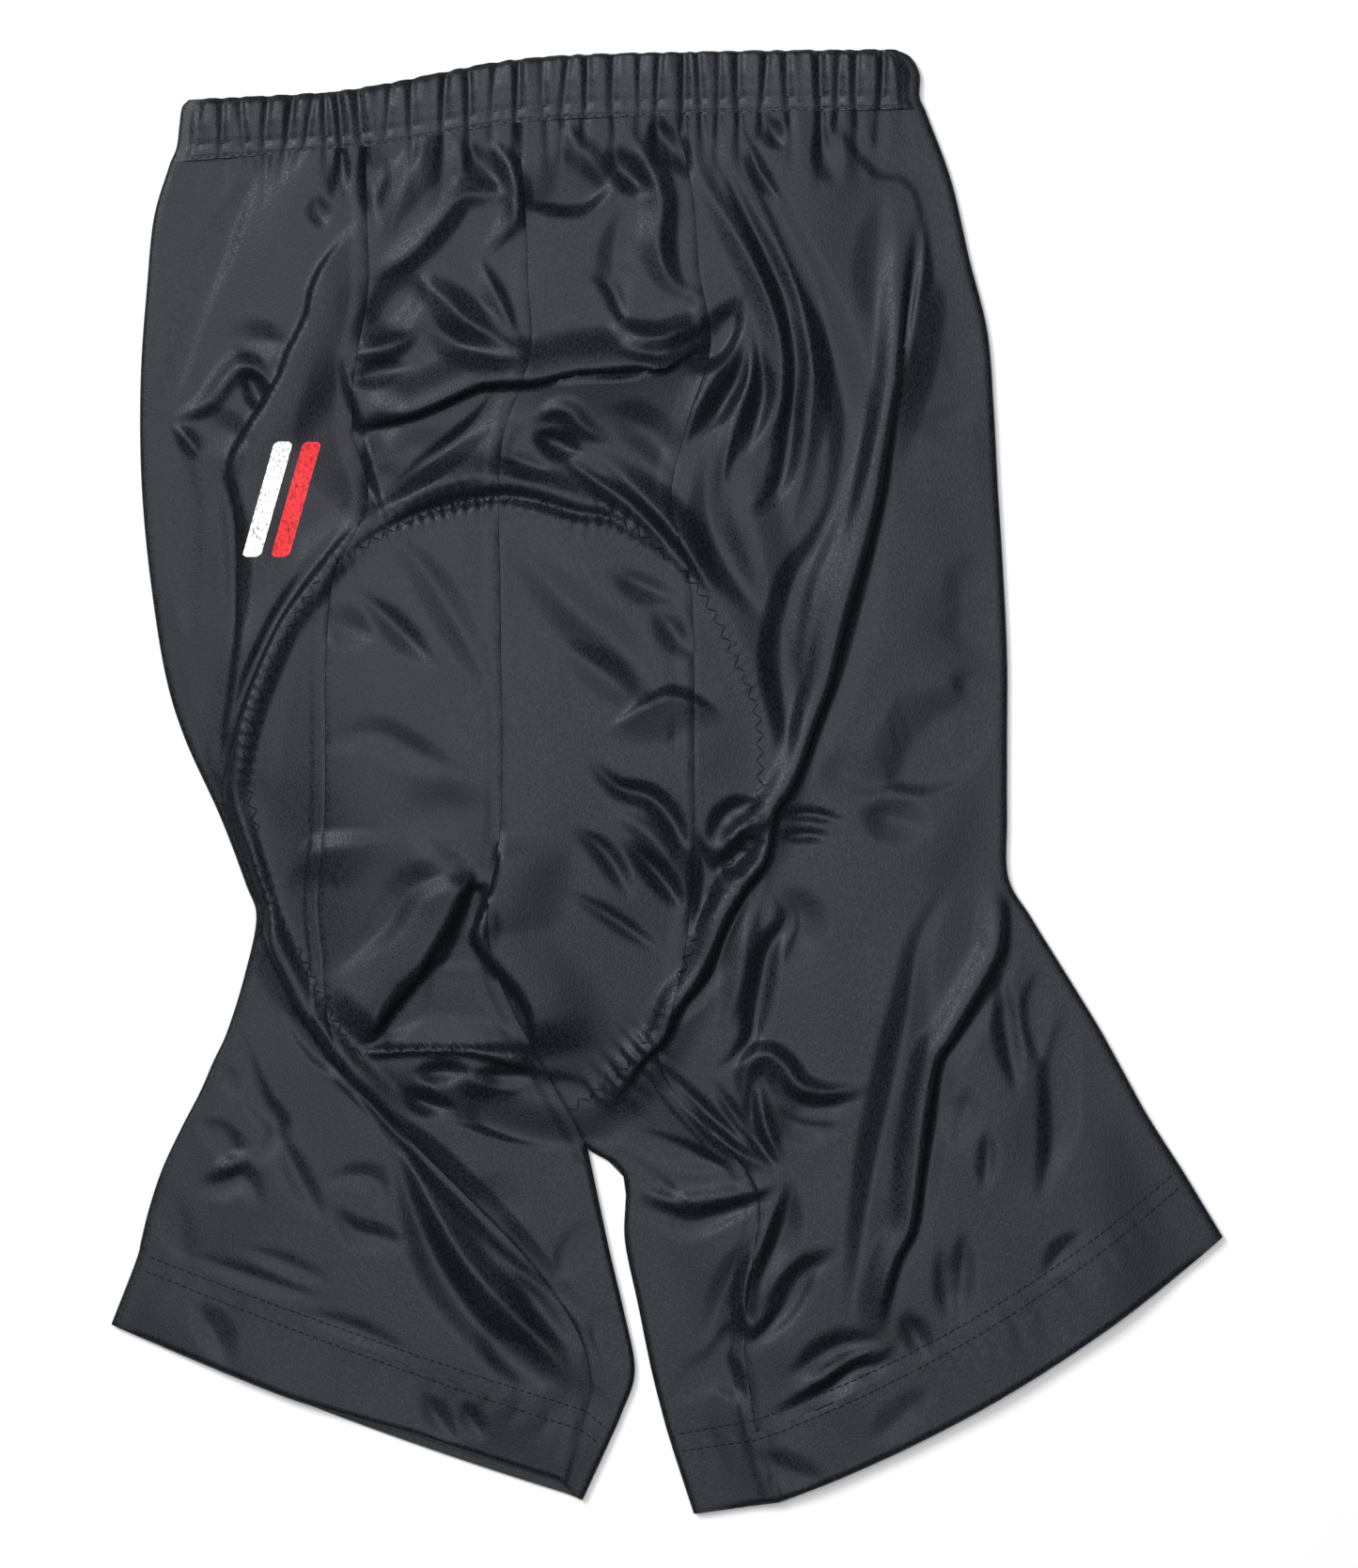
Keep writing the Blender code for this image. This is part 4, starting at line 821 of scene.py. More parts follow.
def waves(points):
    """The cloth's own gentle unevenness: a sum of slanting waves, the same on every run."""
    chance = np.random.default_rng(SEED)
    total = np.zeros(len(points))
    weight = 0.0
    for _ in range(WAVES):
        length = math.exp(chance.uniform(*np.log(WAVE_LENGTHS)))
        heading = chance.uniform(*WAVE_HEADINGS) * math.pi
        phase = chance.uniform(0, 2 * math.pi)
        strength = (length / WAVE_LENGTHS[1]) ** WAVE_POWER
        along = points @ (math.sin(heading), math.cos(heading))
        total += strength * np.sin(2 * math.pi * along / length + phase)
        weight += strength**2
    return total / math.sqrt(weight)


def outline_paths():
    whole = np.linspace(0, HEM_EDGE, OUTLINE_TURNS * HEM_EDGE + 1)
    legs = np.linspace(CROTCH, HEM_EDGE, OUTLINE_TURNS * (HEM_EDGE - CROTCH) + 1)
    tables = (LEFT_SECTIONS, RIGHT_SECTIONS)
    outer = [column(table, "outer", whole) for table in tables]
    return outer + [column(table, "centre", legs) for table in tables]


def seam_paths():
    whole = np.linspace(0, HEM_EDGE, SEAM_TURNS * HEM_EDGE + 1)
    body = np.linspace(0, CROTCH, SEAM_TURNS * CROTCH + 1)
    return [column(LEFT_SECTIONS, "seam", whole), column(RIGHT_SECTIONS, "seam", whole),
            column(LEFT_SECTIONS, "centre", body)]


def pad_outline():
    points = np.array(PAD_OUTLINE, float) + CENTRING
    closed = np.vstack([points[-1:], points, points[:2]])
    return smooth_curve(closed, np.linspace(1, len(points) + 1, 8 * len(points), endpoint=False))


def pad_radius(angles):
    """How far the zigzag round the pad reaches from the pad's centre in each direction."""
    reach = pad_outline() - PAD_CENTRE
    heading = np.arctan2(reach[:, 1], reach[:, 0])
    order = np.argsort(heading)
    return np.interp(angles, heading[order], np.hypot(*reach.T)[order], period=2 * math.pi)


def pad_dome(share):
    return LOWER + LAYER_AIR + PAD_EDGE + PAD_RISE * (1 - np.clip(share, 0.0, 1.0) ** 2) ** PAD_POWER


def underlay(points, edge_distance):
    """Height of what the upper cloth rests on: the lower cloth, or the pad and the air round its edge."""
    reach = points - PAD_CENTRE
    stitched = pad_radius(np.arctan2(reach[:, 1], reach[:, 0]))
    distance = np.hypot(*reach.T)
    beyond = (distance - stitched - PAD_HOLD) / PAD_FALL
    low = LOWER + LAYER_AIR
    raised = pad_dome(distance / (stitched - PAD_INSET)) + PAD_CLEARANCE - low
    return low + raised * (1 - ease(beyond)) * ease(edge_distance / RAISED_FROM)


def seam_relief(points):
    """A groove along each seam, with the sewn allowance lying under one side of it."""
    total = np.zeros(len(points))
    for path in seam_paths():
        close = near(path, points, ALLOWANCE_WIDTH + SEAM_MARGIN)
        distance, travelled, on_left, _ = away_from(path, points[close])
        groove = np.clip(1 - distance / SEAM_HALF_WIDTH, 0.0, 1.0) ** GROOVE_POWER
        allowance = ease((ALLOWANCE_WIDTH - distance) / ALLOWANCE_EDGE) * ~on_left
        short, long = SEAM_PUCKER_LENGTHS
        pucker = 1 + SEAM_PUCKER * np.sin(travelled / short) * np.sin(travelled / long)
        total[close] += ALLOWANCE_HEIGHT * allowance - sizes().seam_depth * pucker * groove
    return total


def cloth_form(points):
    """Height of the upper cloth's outer face and the sideways push of its lips, at points in plan."""
    outlines = [away_from(path, points)[0] for path in outline_paths()]
    edge_distance = np.min(outlines, axis=0)
    inner_distance = np.minimum(outlines[2], outlines[3])
    folds = np.zeros(len(points))
    shifts = np.zeros((len(points), 2))
    add_folds(points, folds)
    add_lips(points, folds, shifts)
    add_fields(points, folds)
    add_puckers(points, folds)
    add_waist_puckers(points, folds)
    folds += sizes().unevenness * waves(points)
    calm = ease(edge_distance / FOLD_REACH)
    loose = sizes().slack * ease(edge_distance / EDGE_REACH) + sizes().folds * folds * calm
    spare = 0.5 * (loose + LEAST_LOOSE + np.sqrt((loose - LEAST_LOOSE) ** 2 + LOOSE_SOFTNESS))
    rest = underlay(points, edge_distance) + sizes().wall
    top = rest + spare + seam_relief(points)
    curve = np.sqrt(np.clip(1 - (1 - inner_distance / INNER_ROUND) ** 2, 0.0, 1.0))
    inner_top = UPPER_FLOOR + (top - UPPER_FLOOR) * np.where(inner_distance < INNER_ROUND, curve, 1.0)
    return inner_top, shifts * ease(edge_distance / FOLD_REACH)[:, None]


def upper_face(plan):
    """Grid of points on the outer face of the upper cloth."""
    flat = plan.reshape(-1, 2)
    heights, shifts = cloth_form(flat)
    return np.column_stack([flat + shifts, heights]).reshape(*plan.shape[:2], 3)


def grid_normals(grid):
    down = np.gradient(grid, axis=0)
    along = np.gradient(grid, axis=1)
    normal = np.cross(down, along)
    normal *= np.sign(normal[..., 2:].sum()) or 1.0
    return normal / np.maximum(np.linalg.norm(normal, axis=-1, keepdims=True), 1e-9)


def thickened(outer):
    """The inner face of an upper cloth wall, kept above the lower layer."""
    inner = outer - sizes().wall * grid_normals(outer)
    highest = outer[..., 2] - LEAST_WALL * sizes().wall
    inner[..., 2] = np.maximum(np.minimum(inner[..., 2], highest), UPPER_FLOOR)
    return inner


def spaced(first, last, count):
    share = np.linspace(0.0, 1.0, count)
    return first[:, None] + share * (last - first)[:, None]


def columns_over_seam(first, seam, last, step):
    parts = [spaced(start, end, 1 + max(1, round(float((end - start).mean()) / step)))
             for start, end in ((first, seam), (seam, last))]
    return np.hstack([parts[0], parts[1][:, 1:]])


def with_height(plan, height):
    return np.dstack([plan, np.broadcast_to(height, plan.shape[:2])])


def wall_mesh(name, outer, inner, closed=False):
    """A closed cloth wall from its two faces, each a grid of points in millimetres."""
    rows, columns = outer.shape[:2]
    vertices = np.concatenate([outer.reshape(-1, 3), inner.reshape(-1, 3)]) * MM
    turns = columns if closed else columns - 1
    row, turn = np.mgrid[0:rows - 1, 0:turns]
    first = row * columns + turn
    second = row * columns + (turn + 1) % columns
    sheet = np.stack([first, second, second + columns, first + columns], axis=-1).reshape(-1, 4)
    skin = rows * columns
    faces = [sheet, sheet[:, ::-1] + skin]
    edge = np.arange(turns)
    for line, flip in ((0, False), (rows - 1, True)):
        start = line * columns + edge
        end = line * columns + (edge + 1) % columns
        quad = np.stack([end, start, start + skin, end + skin], axis=-1)
        faces.append(quad[:, ::-1] if flip else quad)
    if not closed:
        for turn, flip in ((0, True), (columns - 1, False)):
            start = np.arange(rows - 1) * columns + turn
            quad = np.stack([start + columns, start, start + skin, start + columns + skin], axis=-1)
            faces.append(quad[:, ::-1] if flip else quad)
    return make_mesh(name, vertices, np.concatenate(faces))


def smooth_piece(name, vertices, faces):
    mesh = bpy.data.meshes.new(name)
    mesh.from_pydata(vertices.tolist(), [], faces)
    mesh.shade_smooth()
    piece = bpy.data.objects.new(name, mesh)
    bpy.context.scene.collection.objects.link(piece)
    return piece


def make_mesh(name, vertices, faces):
    piece = smooth_piece(name, vertices, faces.tolist())
    piece.data.set_sharp_from_angle(angle=math.radians(SHARP_FROM))
    if signed_volume(vertices, faces) < 0:
        piece.data.flip_normals()
    return piece


def signed_volume(vertices, faces):
    first, second, third, fourth = (vertices[faces[:, turn]] for turn in range(4))
    return np.einsum("ij,ij->i", first, np.cross(second, third) + np.cross(third, fourth)).sum()


def outer_turn(half, top_edge, turns=9):
    """The turn round the outer edge, from the lower layer up to the upper one: outer and inner face."""
    angles = np.linspace(-0.5, 0.5, turns) * math.pi
    faces = []
    for thickness in (0.0, sizes().wall):
        reach = EDGE_ROUND - thickness
        distance = EDGE_ROUND - reach * np.cos(angles)
        plan = half.plan(np.broadcast_to(distance, (len(top_edge), turns)))
        middle = 0.5 * top_edge[:, None]
        faces.append(with_height(plan, middle + (middle - thickness) * np.sin(angles)))
    return faces


def side_cloth(name, half):
    """Upper layer, turn and lower layer of one side panel."""
    step = sizes().step
    fold = np.full(len(half.outer), EDGE_ROUND)
    upper = spaced(fold, half.side_width - SEAM_AIR, 1 + round(float(half.side_width.mean()) / step))
    front = FRONT_SHARE * half.side_width - SEAM_AIR
    lower_plan = half.plan(spaced(front, fold, 2 + round(float(front.mean()) / UNDER_STEP)))
    upper_outer = upper_face(half.plan(upper))
    upper_inner = thickened(upper_outer)
    turn_outer, turn_inner = outer_turn(half, upper_outer[:, 0, 2])
    upper_inner[:, 0] = turn_inner[:, -1]
    outer = np.hstack([with_height(lower_plan, 0.0)[:, :-1], turn_outer, upper_outer[:, 1:]])
    inner = np.hstack([with_height(lower_plan, LOWER)[:, :-1], turn_inner, upper_inner[:, 1:]])
    return wall_mesh(name, outer, inner)


def back_cloth(name, half):
    count = 1 + round(float(half.centre_width.mean()) / sizes().step)
    distance = spaced(half.side_width + SEAM_AIR, half.width - SEAM_AIR, count)
    outer = upper_face(half.plan(distance))
    return wall_mesh(name, outer, thickened(outer))


def front_cloth(name, half):
    """The lower layer: flat where it rests."""
    front = FRONT_SHARE * half.side_width + SEAM_AIR
    plan = half.plan(columns_over_seam(front, half.side_width, half.width - SEAM_AIR, UNDER_STEP))
    return wall_mesh(name, with_height(plan, LOWER), with_height(plan, 0.0))


def hem_cloth(name, half, layer_step):
    """The turned-up leg hem as a flat ring: upper layer, inner edge, lower layer, outer edge."""
    fold = np.full(len(half.outer), EDGE_ROUND)
    distance = columns_over_seam(fold, half.side_width, half.width - INNER_ROUND, sizes().step)
    share = distance[-1] / half.width[-1]
    plan = half.plan(distance)
    upper_plan = plan.copy()
    lift = layer_step * ease(share / HEM_LIFT_FROM - 1) * ease((1 - share) / HEM_LIFT_END)
    upper_plan[..., 1] += np.linspace(0, 1, len(plan))[:, None] * lift
    upper = upper_face(upper_plan)
    to_edge = (np.arange(len(plan))[::-1] * sizes().step)[:, None]
    round_off = np.sqrt(np.clip(1 - (1 - np.minimum(to_edge / HEM_ROUND, 1.0)) ** 2, 0, 1))
    upper[..., 2] -= HEM_DROP * (1 - round_off) * ease(upper[..., 2] - HEM_DROP_FROM)
    upper[..., 2] = np.maximum(upper[..., 2], UPPER_LEAST)
    faces = []
    for thickness in (0.0, sizes().wall):
        top = upper.copy()
        top[..., 2] -= thickness
        ends = [
            ring_end(plan[:, edge], edge_line, upper[:, edge, 2], thickness)
            for edge, edge_line in ((-1, half.centre), (0, half.outer))
        ]
        faces.append(np.hstack([top, ends[0], with_height(plan[:, ::-1], thickness), ends[1][:, ::-1]]))
    return wall_mesh(name, faces[0], faces[1], closed=True)


def ring_end(start, edge_line, top, thickness, turns=9):
    """The turn at one end of a ring's flat stretch, from the upper layer down to the lower one."""
    reach = edge_line - start
    angles = np.linspace(0.5, -0.5, turns)[1:-1] * math.pi
    whole = np.hypot(*reach.T)[:, None]
    plan = start[:, None] + (reach * (whole - thickness) / whole)[:, None] * np.cos(angles)[:, None]
    middle = 0.5 * top[:, None]
    return with_height(plan, middle + (middle - thickness) * np.sin(angles))


def waist_path(name):
    level = next(level for level in WAIST_LEVELS if level.name == name)
    stops = [level.left, level.left_seam, level.centre, level.right_seam, level.right]
    return smooth_path(np.array(stops, float) + CENTRING, WAIST_TURNS)


def waist_grid(up, across):
    """Plan points of the casing at heights up (0 lower row, 4 top edge) and shares across."""
    lines = []
    for level in WAIST_LEVELS:
        path = waist_path(level.name)
        along = length_along(path)
        lines.append(points_at(path, along, across * along[-1]))
    lines = np.array(lines)
    return smooth_curve(lines.reshape(len(lines), -1), up).reshape(len(up), len(across), 2)


def gather_relief(plan, up):
    """Depth of the gathers over the casing: sharp grooves that lean, with puffed cloth between them."""
    total = np.zeros(plan.shape[:2])
    lift = (up / (len(WAIST_LEVELS) - 1))[:, None]
    for gather in GATHERS:
        sway = GATHER_SWAY * np.sin(GATHER_TURNS * lift + gather.x)
        x = gather.x + CENTRING[0] + gather.lean * (lift - GATHER_LEAN_FROM) + sway
        off = np.abs(plan[..., 0] - x) / (GATHER_WIDTH * gather.half_width)
        total -= gather.depth * np.clip(1 - off, 0.0, 1.0) ** GATHER_POWER
    short, long = RIPPLE_LENGTHS
    ripple = np.sin(plan[..., 0] / short + RIPPLE_LEAN * lift) * np.sin(plan[..., 0] / long + RIPPLE_START)
    return total + RIPPLE_HEIGHT * ripple


def casing_top(up, across):
    """The casing's upper face as a grid of points, at heights up and shares across."""
    inset = EDGE_ROUND / length_along(waist_path("lower row"))[-1]
    plan = waist_grid(up, inset + across * (1 - 2 * inset))
    levels = range(len(WAIST_LEVELS))
    height = np.interp(up, levels, [level.height for level in WAIST_LEVELS])[:, None]
    gathers = np.interp(up, levels, [level.gather for level in WAIST_LEVELS])[:, None]
    shape = ease(across / CASING_END) * ease((1 - across) / CASING_END)
    flat_end = UPPER_LEAST + CASING_END_RISE
    rows = sum(np.clip(1 - np.abs(up - row) / CASING_ROW_WIDTH, 0, 1) ** 2 for row in CASING_ROWS)[:, None]
    relief = gather_relief(plan, up)
    top = flat_end + (height - flat_end + relief * gathers - CASING_ROW_DEPTH * rows) * shape
    plan[..., 1] += SCALLOP * relief * shape * (up / levels[-1])[:, None] ** SCALLOP_POWER
    return np.dstack([plan, np.maximum(top, UPPER_LEAST)])


def casing_cloth(name):
    """The gathered ring of the waist: grooves in the upper layer, the lower layer flat where it rests."""
    width = length_along(waist_path("lower row"))[-1]
    up = np.linspace(0, len(WAIST_LEVELS) - 1, CASING_LINES)
    inset = EDGE_ROUND / width
    upper = casing_top(up, np.linspace(0.0, 1.0, round(width / CASING_STEP)))
    lower_plan = waist_grid(up, inset + np.linspace(1.0, 0.0, round(width / UNDER_STEP)) * (1 - 2 * inset))
    ends = waist_grid(up, np.array([0.0, 1.0]))
    faces = []
    for thickness in (0.0, sizes().wall):
        outer = upper.copy()
        outer[..., 2] -= thickness
        turns = [ring_end(upper[:, edge, :2], ends[:, edge], upper[:, edge, 2], thickness)
                 for edge in (-1, 0)]
        faces.append(np.hstack([outer, turns[0], with_height(lower_plan, thickness), turns[1][:, ::-1]]))
    return wall_mesh(name, faces[0], faces[1], closed=True)


def pad_form(name, rings=26, spokes=96):
    """The seat pad between the layers: a dome with channels pressed into it, clear of the cloth above."""
    headings = np.linspace(-math.pi, math.pi, spokes, endpoint=False)
    radius = pad_radius(headings) - PAD_INSET
    shares = np.linspace(PAD_MIDDLE, 1.0, rings)
    ways = np.stack([np.cos(headings), np.sin(headings)], axis=-1)
    plan = PAD_CENTRE + (shares[:, None] * radius)[..., None] * ways
    cloth = upper_face(plan)[..., 2] - sizes().wall - PAD_CLOTH_AIR
    off = [np.abs(plan[..., 0] - x - CENTRING[0]) / CHANNEL_HALF_WIDTH for x in CHANNELS]
    channel = sum(np.clip(1 - away, 0, 1) ** 2 for away in off)
    fade = ease((1 - shares)[:, None] / CHANNEL_FADE)
    dome = pad_dome(shares)[:, None] - PAD_AIR - CHANNEL_DEPTH * channel * fade
    base = LOWER + PAD_AIR
    top = np.maximum(np.minimum(dome, cloth), base + PAD_LEAST)
    middles = [[*PAD_CENTRE, float(top[0].mean())], [*PAD_CENTRE, base]]
    faces_up = np.dstack([plan, top]).reshape(-1, 3)
    faces_down = with_height(plan, base).reshape(-1, 3)
    skin = rings * spokes
    rim = skin - spokes
    faces = []
    for spoke in range(spokes):
        following = (spoke + 1) % spokes
        for start in range(0, rim, spokes):
            end = start + spokes
            quad = [start + spoke, end + spoke, end + following, start + following]
            faces += [quad, [skin + corner for corner in reversed(quad)]]
        faces.append([rim + spoke, rim + skin + spoke, rim + skin + following, rim + following])
        faces.append([2 * skin, spoke, following])
        faces.append([2 * skin + 1, skin + following, skin + spoke])
    return smooth_piece(name, np.concatenate([faces_up, faces_down, middles]) * MM, faces)


def points_at(path, along, at):
    """Points of a path at given lengths along it."""
    return np.stack([np.interp(at, along, path[:, axis]) for axis in range(path.shape[1])], axis=-1)


def resampled(path, step):
    along = length_along(path)
    return points_at(path, along, np.linspace(0, along[-1], round(along[-1] / step) + 1))


def thread_mesh(name, stitches, sides=5, rings=5):
    """Short rounded stitches: each is a bowed tube from one point to the next."""
    radius = 0.5 * sizes().thread
    vertices, faces = [], []
    angles = [2 * math.pi * turn / sides for turn in range(sides)]
    for first, last in stitches:
        along = last - first
        along = along / np.linalg.norm(along)
        side = np.cross(along, (0, 0, 1.0))
        side /= np.linalg.norm(side)
        up = np.cross(side, along)
        start = len(vertices)
        for share in np.linspace(0, 1, rings):
            lift = STITCH_BOW * share * (1 - share) - STITCH_SINK
            middle = first + (last - first) * share + up * radius * lift
            width = radius * (STITCH_TIP + (1 - STITCH_TIP) * math.sin(math.pi * share) ** 0.5)
            vertices += [middle + width * (math.cos(angle) * side + math.sin(angle) * up) for angle in angles]
        end = start + (rings - 1) * sides
        for ring in range(start, end, sides):
            for turn in range(sides):
                following = (turn + 1) % sides
                faces.append([ring + turn, ring + following, ring + sides + following, ring + sides + turn])
        faces.append([start + turn for turn in range(sides)][::-1])
        faces.append([end + turn for turn in range(sides)])
    piece = smooth_piece(name, np.array(vertices) * MM, faces)
    piece.data.flip_normals()
    return piece


def run_of_stitches(path, height):
    """Ends of the hem stitches along a path in plan. height gives the surface at points."""
    along = length_along(path)
    starts = np.arange(HEM_GAP, along[-1] - HEM_STITCH, HEM_STITCH + HEM_GAP)
    return list(zip(*(height(points_at(path, along, at)) for at in (starts, starts + HEM_STITCH))))


def on_upper(points):
    heights, shifts = cloth_form(points)
    return np.column_stack([points + shifts, heights + THREAD_LIFT])


def under_side(points):
    return np.column_stack([points, np.full(len(points), -THREAD_LIFT)])


def zigzag(path, pitch, swing):
    """A zigzag about a path."""
    dense = resampled(path, 0.5 * pitch)
    run = np.gradient(dense, axis=0)
    across = np.stack([-run[:, 1], run[:, 0]], axis=1) / np.hypot(*run.T)[:, None]
    return dense + across * (0.5 * swing * (-1.0) ** np.arange(len(dense)))[:, None]


def hem_rows(side):
    """Two rows of twin-needle stitches in plan, as levels of the section table."""
    sections = LEFT_SECTIONS if side == "left" else RIGHT_SECTIONS
    rows = []
    for needle in HEM_NEEDLES:
        half = Half(sections, np.full(2, HEM_ROW + needle))
        distance = np.linspace(HEM_ROW_STARTS, half.width[0] - HEM_ROW_ENDS, HEM_ROW_POINTS)
        rows.append(half.plan(np.vstack([distance, distance]))[0])
    return rows


def waist_rows():
    """The two rows of stitches that hold the elastic, on both layers."""
    sewn = []
    for row in CASING_ROWS:
        path = casing_top(np.array([row, row]), np.linspace(0.01, 0.99, WAIST_ROW_POINTS))[0]
        along = length_along(path[:, :2])
        starts = np.arange(WAIST_ROW_START, along[-1] - WAIST_STITCH, WAIST_PITCH)
        ends = [points_at(path, along, at) for at in (starts, starts + WAIST_STITCH)]
        sewn += list(zip(*ends))
        sewn += list(zip(*(under_side(end[:, :2]) for end in ends)))
    return sewn


ZIGZAG_PITCH = 6.3
ZIGZAG_SWING = 3.2
STITCH_BOW = 4.4
STITCH_SINK = 0.35
STITCH_TIP = 0.35
THREAD_LIFT = 0.02
HEM_NEEDLES = (-0.25, 0.12)
HEM_ROW_STARTS = 4.0
HEM_ROW_ENDS = 3.0
HEM_ROW_POINTS = 120
HEM_STITCH = 2.3
HEM_GAP = 0.7
WAIST_ROW_POINTS = 500
WAIST_ROW_START = 1.0
WAIST_STITCH = 2.4
WAIST_PITCH = 3.1

Finish = namedtuple("Finish", "colour roughness rib_pitch speckle bump sheen specular")

FINISHES = {
    "Satin knit": Finish("cloth", 0.41, 0.0007, 0.6, 0.3, 0.015, 0.22),
    "Gathered knit": Finish("casing", 0.44, 0.0007, 0.6, 0.3, 0.02, 0.29),
    "Pad knit": Finish("pad", 0.85, 0.0014, 0.2, 0.5, 0.3, 0.3),
    "Sewing thread": Finish("thread", 0.6, 0.0005, 0.2, 0.3, 0.0, 0.12),
    "Light transfer": Finish("mark_light", 0.6, 0.0009, 0.1, 0.15, 0.0, 0.3),
    "Red transfer": Finish("mark_red", 0.6, 0.0009, 0.1, 0.15, 0.0, 0.3),
}
SHEEN_ROUGHNESS = 0.35
SHEEN_TINT = (0.62, 0.70, 0.85, 1.0)
SPECULAR_TINT = (0.86, 0.90, 1.0, 1.0)
BUMP_DISTANCE = 0.0003

KNIT_INPUTS = (
    ("Colour", "NodeSocketColor", (0.02, 0.02, 0.02, 1)),
    ("Rib pitch", "NodeSocketFloat", 0.0009),
    ("Speckle", "NodeSocketFloat", 0.3),
    ("Roughness", "NodeSocketFloat", 0.5),
)
KNIT_OUTPUTS = (
    ("Colour", "NodeSocketColor"),
    ("Roughness", "NodeSocketFloat"),
    ("Height", "NodeSocketFloat"),
)
RIB_STRETCH = (1.0, 0.6, 1.0)
FILAMENTS = {"Detail": 2.0}
FILAMENT_TONE = {"From Min": 0.3, "From Max": 0.72, "To Min": 0.4, "To Max": 2.0}
PATCHES = {"Scale": 34.0, "Detail": 4.0}
PATCH_TONE = {"From Min": 0.3, "From Max": 0.7, "To Min": 0.88, "To Max": 1.12}
LOOPS = {"Scale": 2000.0}
LOOP_HEIGHT = 0.3


def shader_node(group, kind, name, values=None, **settings):
    node = group.nodes.new(kind)
    node.name = name
    node.label = name
    for key, value in settings.items():
        setattr(node, key, value)
    for socket, value in (values or {}).items():
        node.inputs[socket].default_value = value
    return node


def knit_group():
    """Fine knit: ribs along the garment, a speckle of filament sheen and soft large patches."""
    if "Fine knit" in bpy.data.node_groups:
        return bpy.data.node_groups["Fine knit"]
    group = bpy.data.node_groups.new("Fine knit", "ShaderNodeTree")
    for name, kind, value in KNIT_INPUTS:
        group.interface.new_socket(name, in_out="INPUT", socket_type=kind).default_value = value
    for name, kind in KNIT_OUTPUTS:
        group.interface.new_socket(name, in_out="OUTPUT", socket_type=kind)
    given = group.nodes.new("NodeGroupInput")
    result = group.nodes.new("NodeGroupOutput")
    place = group.nodes.new("ShaderNodeTexCoord")
    link = group.links.new
    across = shader_node(group, "ShaderNodeMapping", "Rib lengths", {"Scale": RIB_STRETCH})
    link(place.outputs["Object"], across.inputs["Vector"])
    density = shader_node(group, "ShaderNodeMath", "Ribs a metre", {0: 1.0}, operation="DIVIDE")
    link(given.outputs["Rib pitch"], density.inputs[1])
    filament = shader_node(group, "ShaderNodeTexNoise", "Filaments", FILAMENTS)
    link(across.outputs["Vector"], filament.inputs["Vector"])
    link(density.outputs[0], filament.inputs["Scale"])
    patches = shader_node(group, "ShaderNodeTexNoise", "Patches", PATCHES)
    link(place.outputs["Object"], patches.inputs["Vector"])
    loops = shader_node(group, "ShaderNodeTexVoronoi", "Loops", LOOPS)
    link(across.outputs["Vector"], loops.inputs["Vector"])
    tone = shader_node(group, "ShaderNodeMapRange", "Filament tone", FILAMENT_TONE)
    link(filament.outputs["Fac"], tone.inputs["Value"])
    patch_tone = shader_node(group, "ShaderNodeMapRange", "Patch tone", PATCH_TONE)
    link(patches.outputs["Fac"], patch_tone.inputs["Value"])
    both = shader_node(group, "ShaderNodeMath", "Tone", operation="MULTIPLY")
    link(tone.outputs["Result"], both.inputs[0])
    link(patch_tone.outputs["Result"], both.inputs[1])
    shade = shader_node(group, "ShaderNodeVectorMath", "Toned colour", operation="SCALE")
    link(given.outputs["Colour"], shade.inputs[0])
    link(both.outputs[0], shade.inputs["Scale"])
    link(shade.outputs[0], result.inputs["Colour"])
    gloss = shader_node(group, "ShaderNodeMath", "Speckled gloss", operation="MULTIPLY_ADD")
    centred = shader_node(group, "ShaderNodeMath", "Centred filaments", {1: 0.5}, operation="SUBTRACT")
    link(filament.outputs["Fac"], centred.inputs[0])
    link(centred.outputs[0], gloss.inputs[0])
    link(given.outputs["Speckle"], gloss.inputs[1])
    link(given.outputs["Roughness"], gloss.inputs[2])
    link(gloss.outputs[0], result.inputs["Roughness"])
    relief = shader_node(group, "ShaderNodeMath", "Knit height", {1: LOOP_HEIGHT}, operation="MULTIPLY_ADD")
    link(loops.outputs["Distance"], relief.inputs[0])
    link(filament.outputs["Fac"], relief.inputs[2])
    link(relief.outputs[0], result.inputs["Height"])
    return group


def knit_material(name, colour, finish):
    material = bpy.data.materials.new(name)
    material.use_nodes = True
    tree = material.node_tree
    shader = tree.nodes["Principled BSDF"]
    knit = tree.nodes.new("ShaderNodeGroup")
    knit.node_tree = knit_group()
    raised = tree.nodes.new("ShaderNodeBump")
    plain = {
        shader: {"Sheen Weight": finish.sheen, "Sheen Roughness": SHEEN_ROUGHNESS, "Sheen Tint": SHEEN_TINT,
                 "Specular IOR Level": finish.specular, "Specular Tint": SPECULAR_TINT},
        knit: {"Colour": (*colour, 1.0), "Rib pitch": finish.rib_pitch, "Speckle": finish.speckle,
               "Roughness": finish.roughness},
        raised: {"Strength": finish.bump, "Distance": BUMP_DISTANCE},
    }
    for node, values in plain.items():
        for socket, value in values.items():
            node.inputs[socket].default_value = value
    tree.links.new(knit.outputs["Height"], raised.inputs["Height"])
    tree.links.new(raised.outputs["Normal"], shader.inputs["Normal"])
    tree.links.new(knit.outputs["Colour"], shader.inputs["Base Color"])
    tree.links.new(knit.outputs["Roughness"], shader.inputs["Roughness"])
    return material


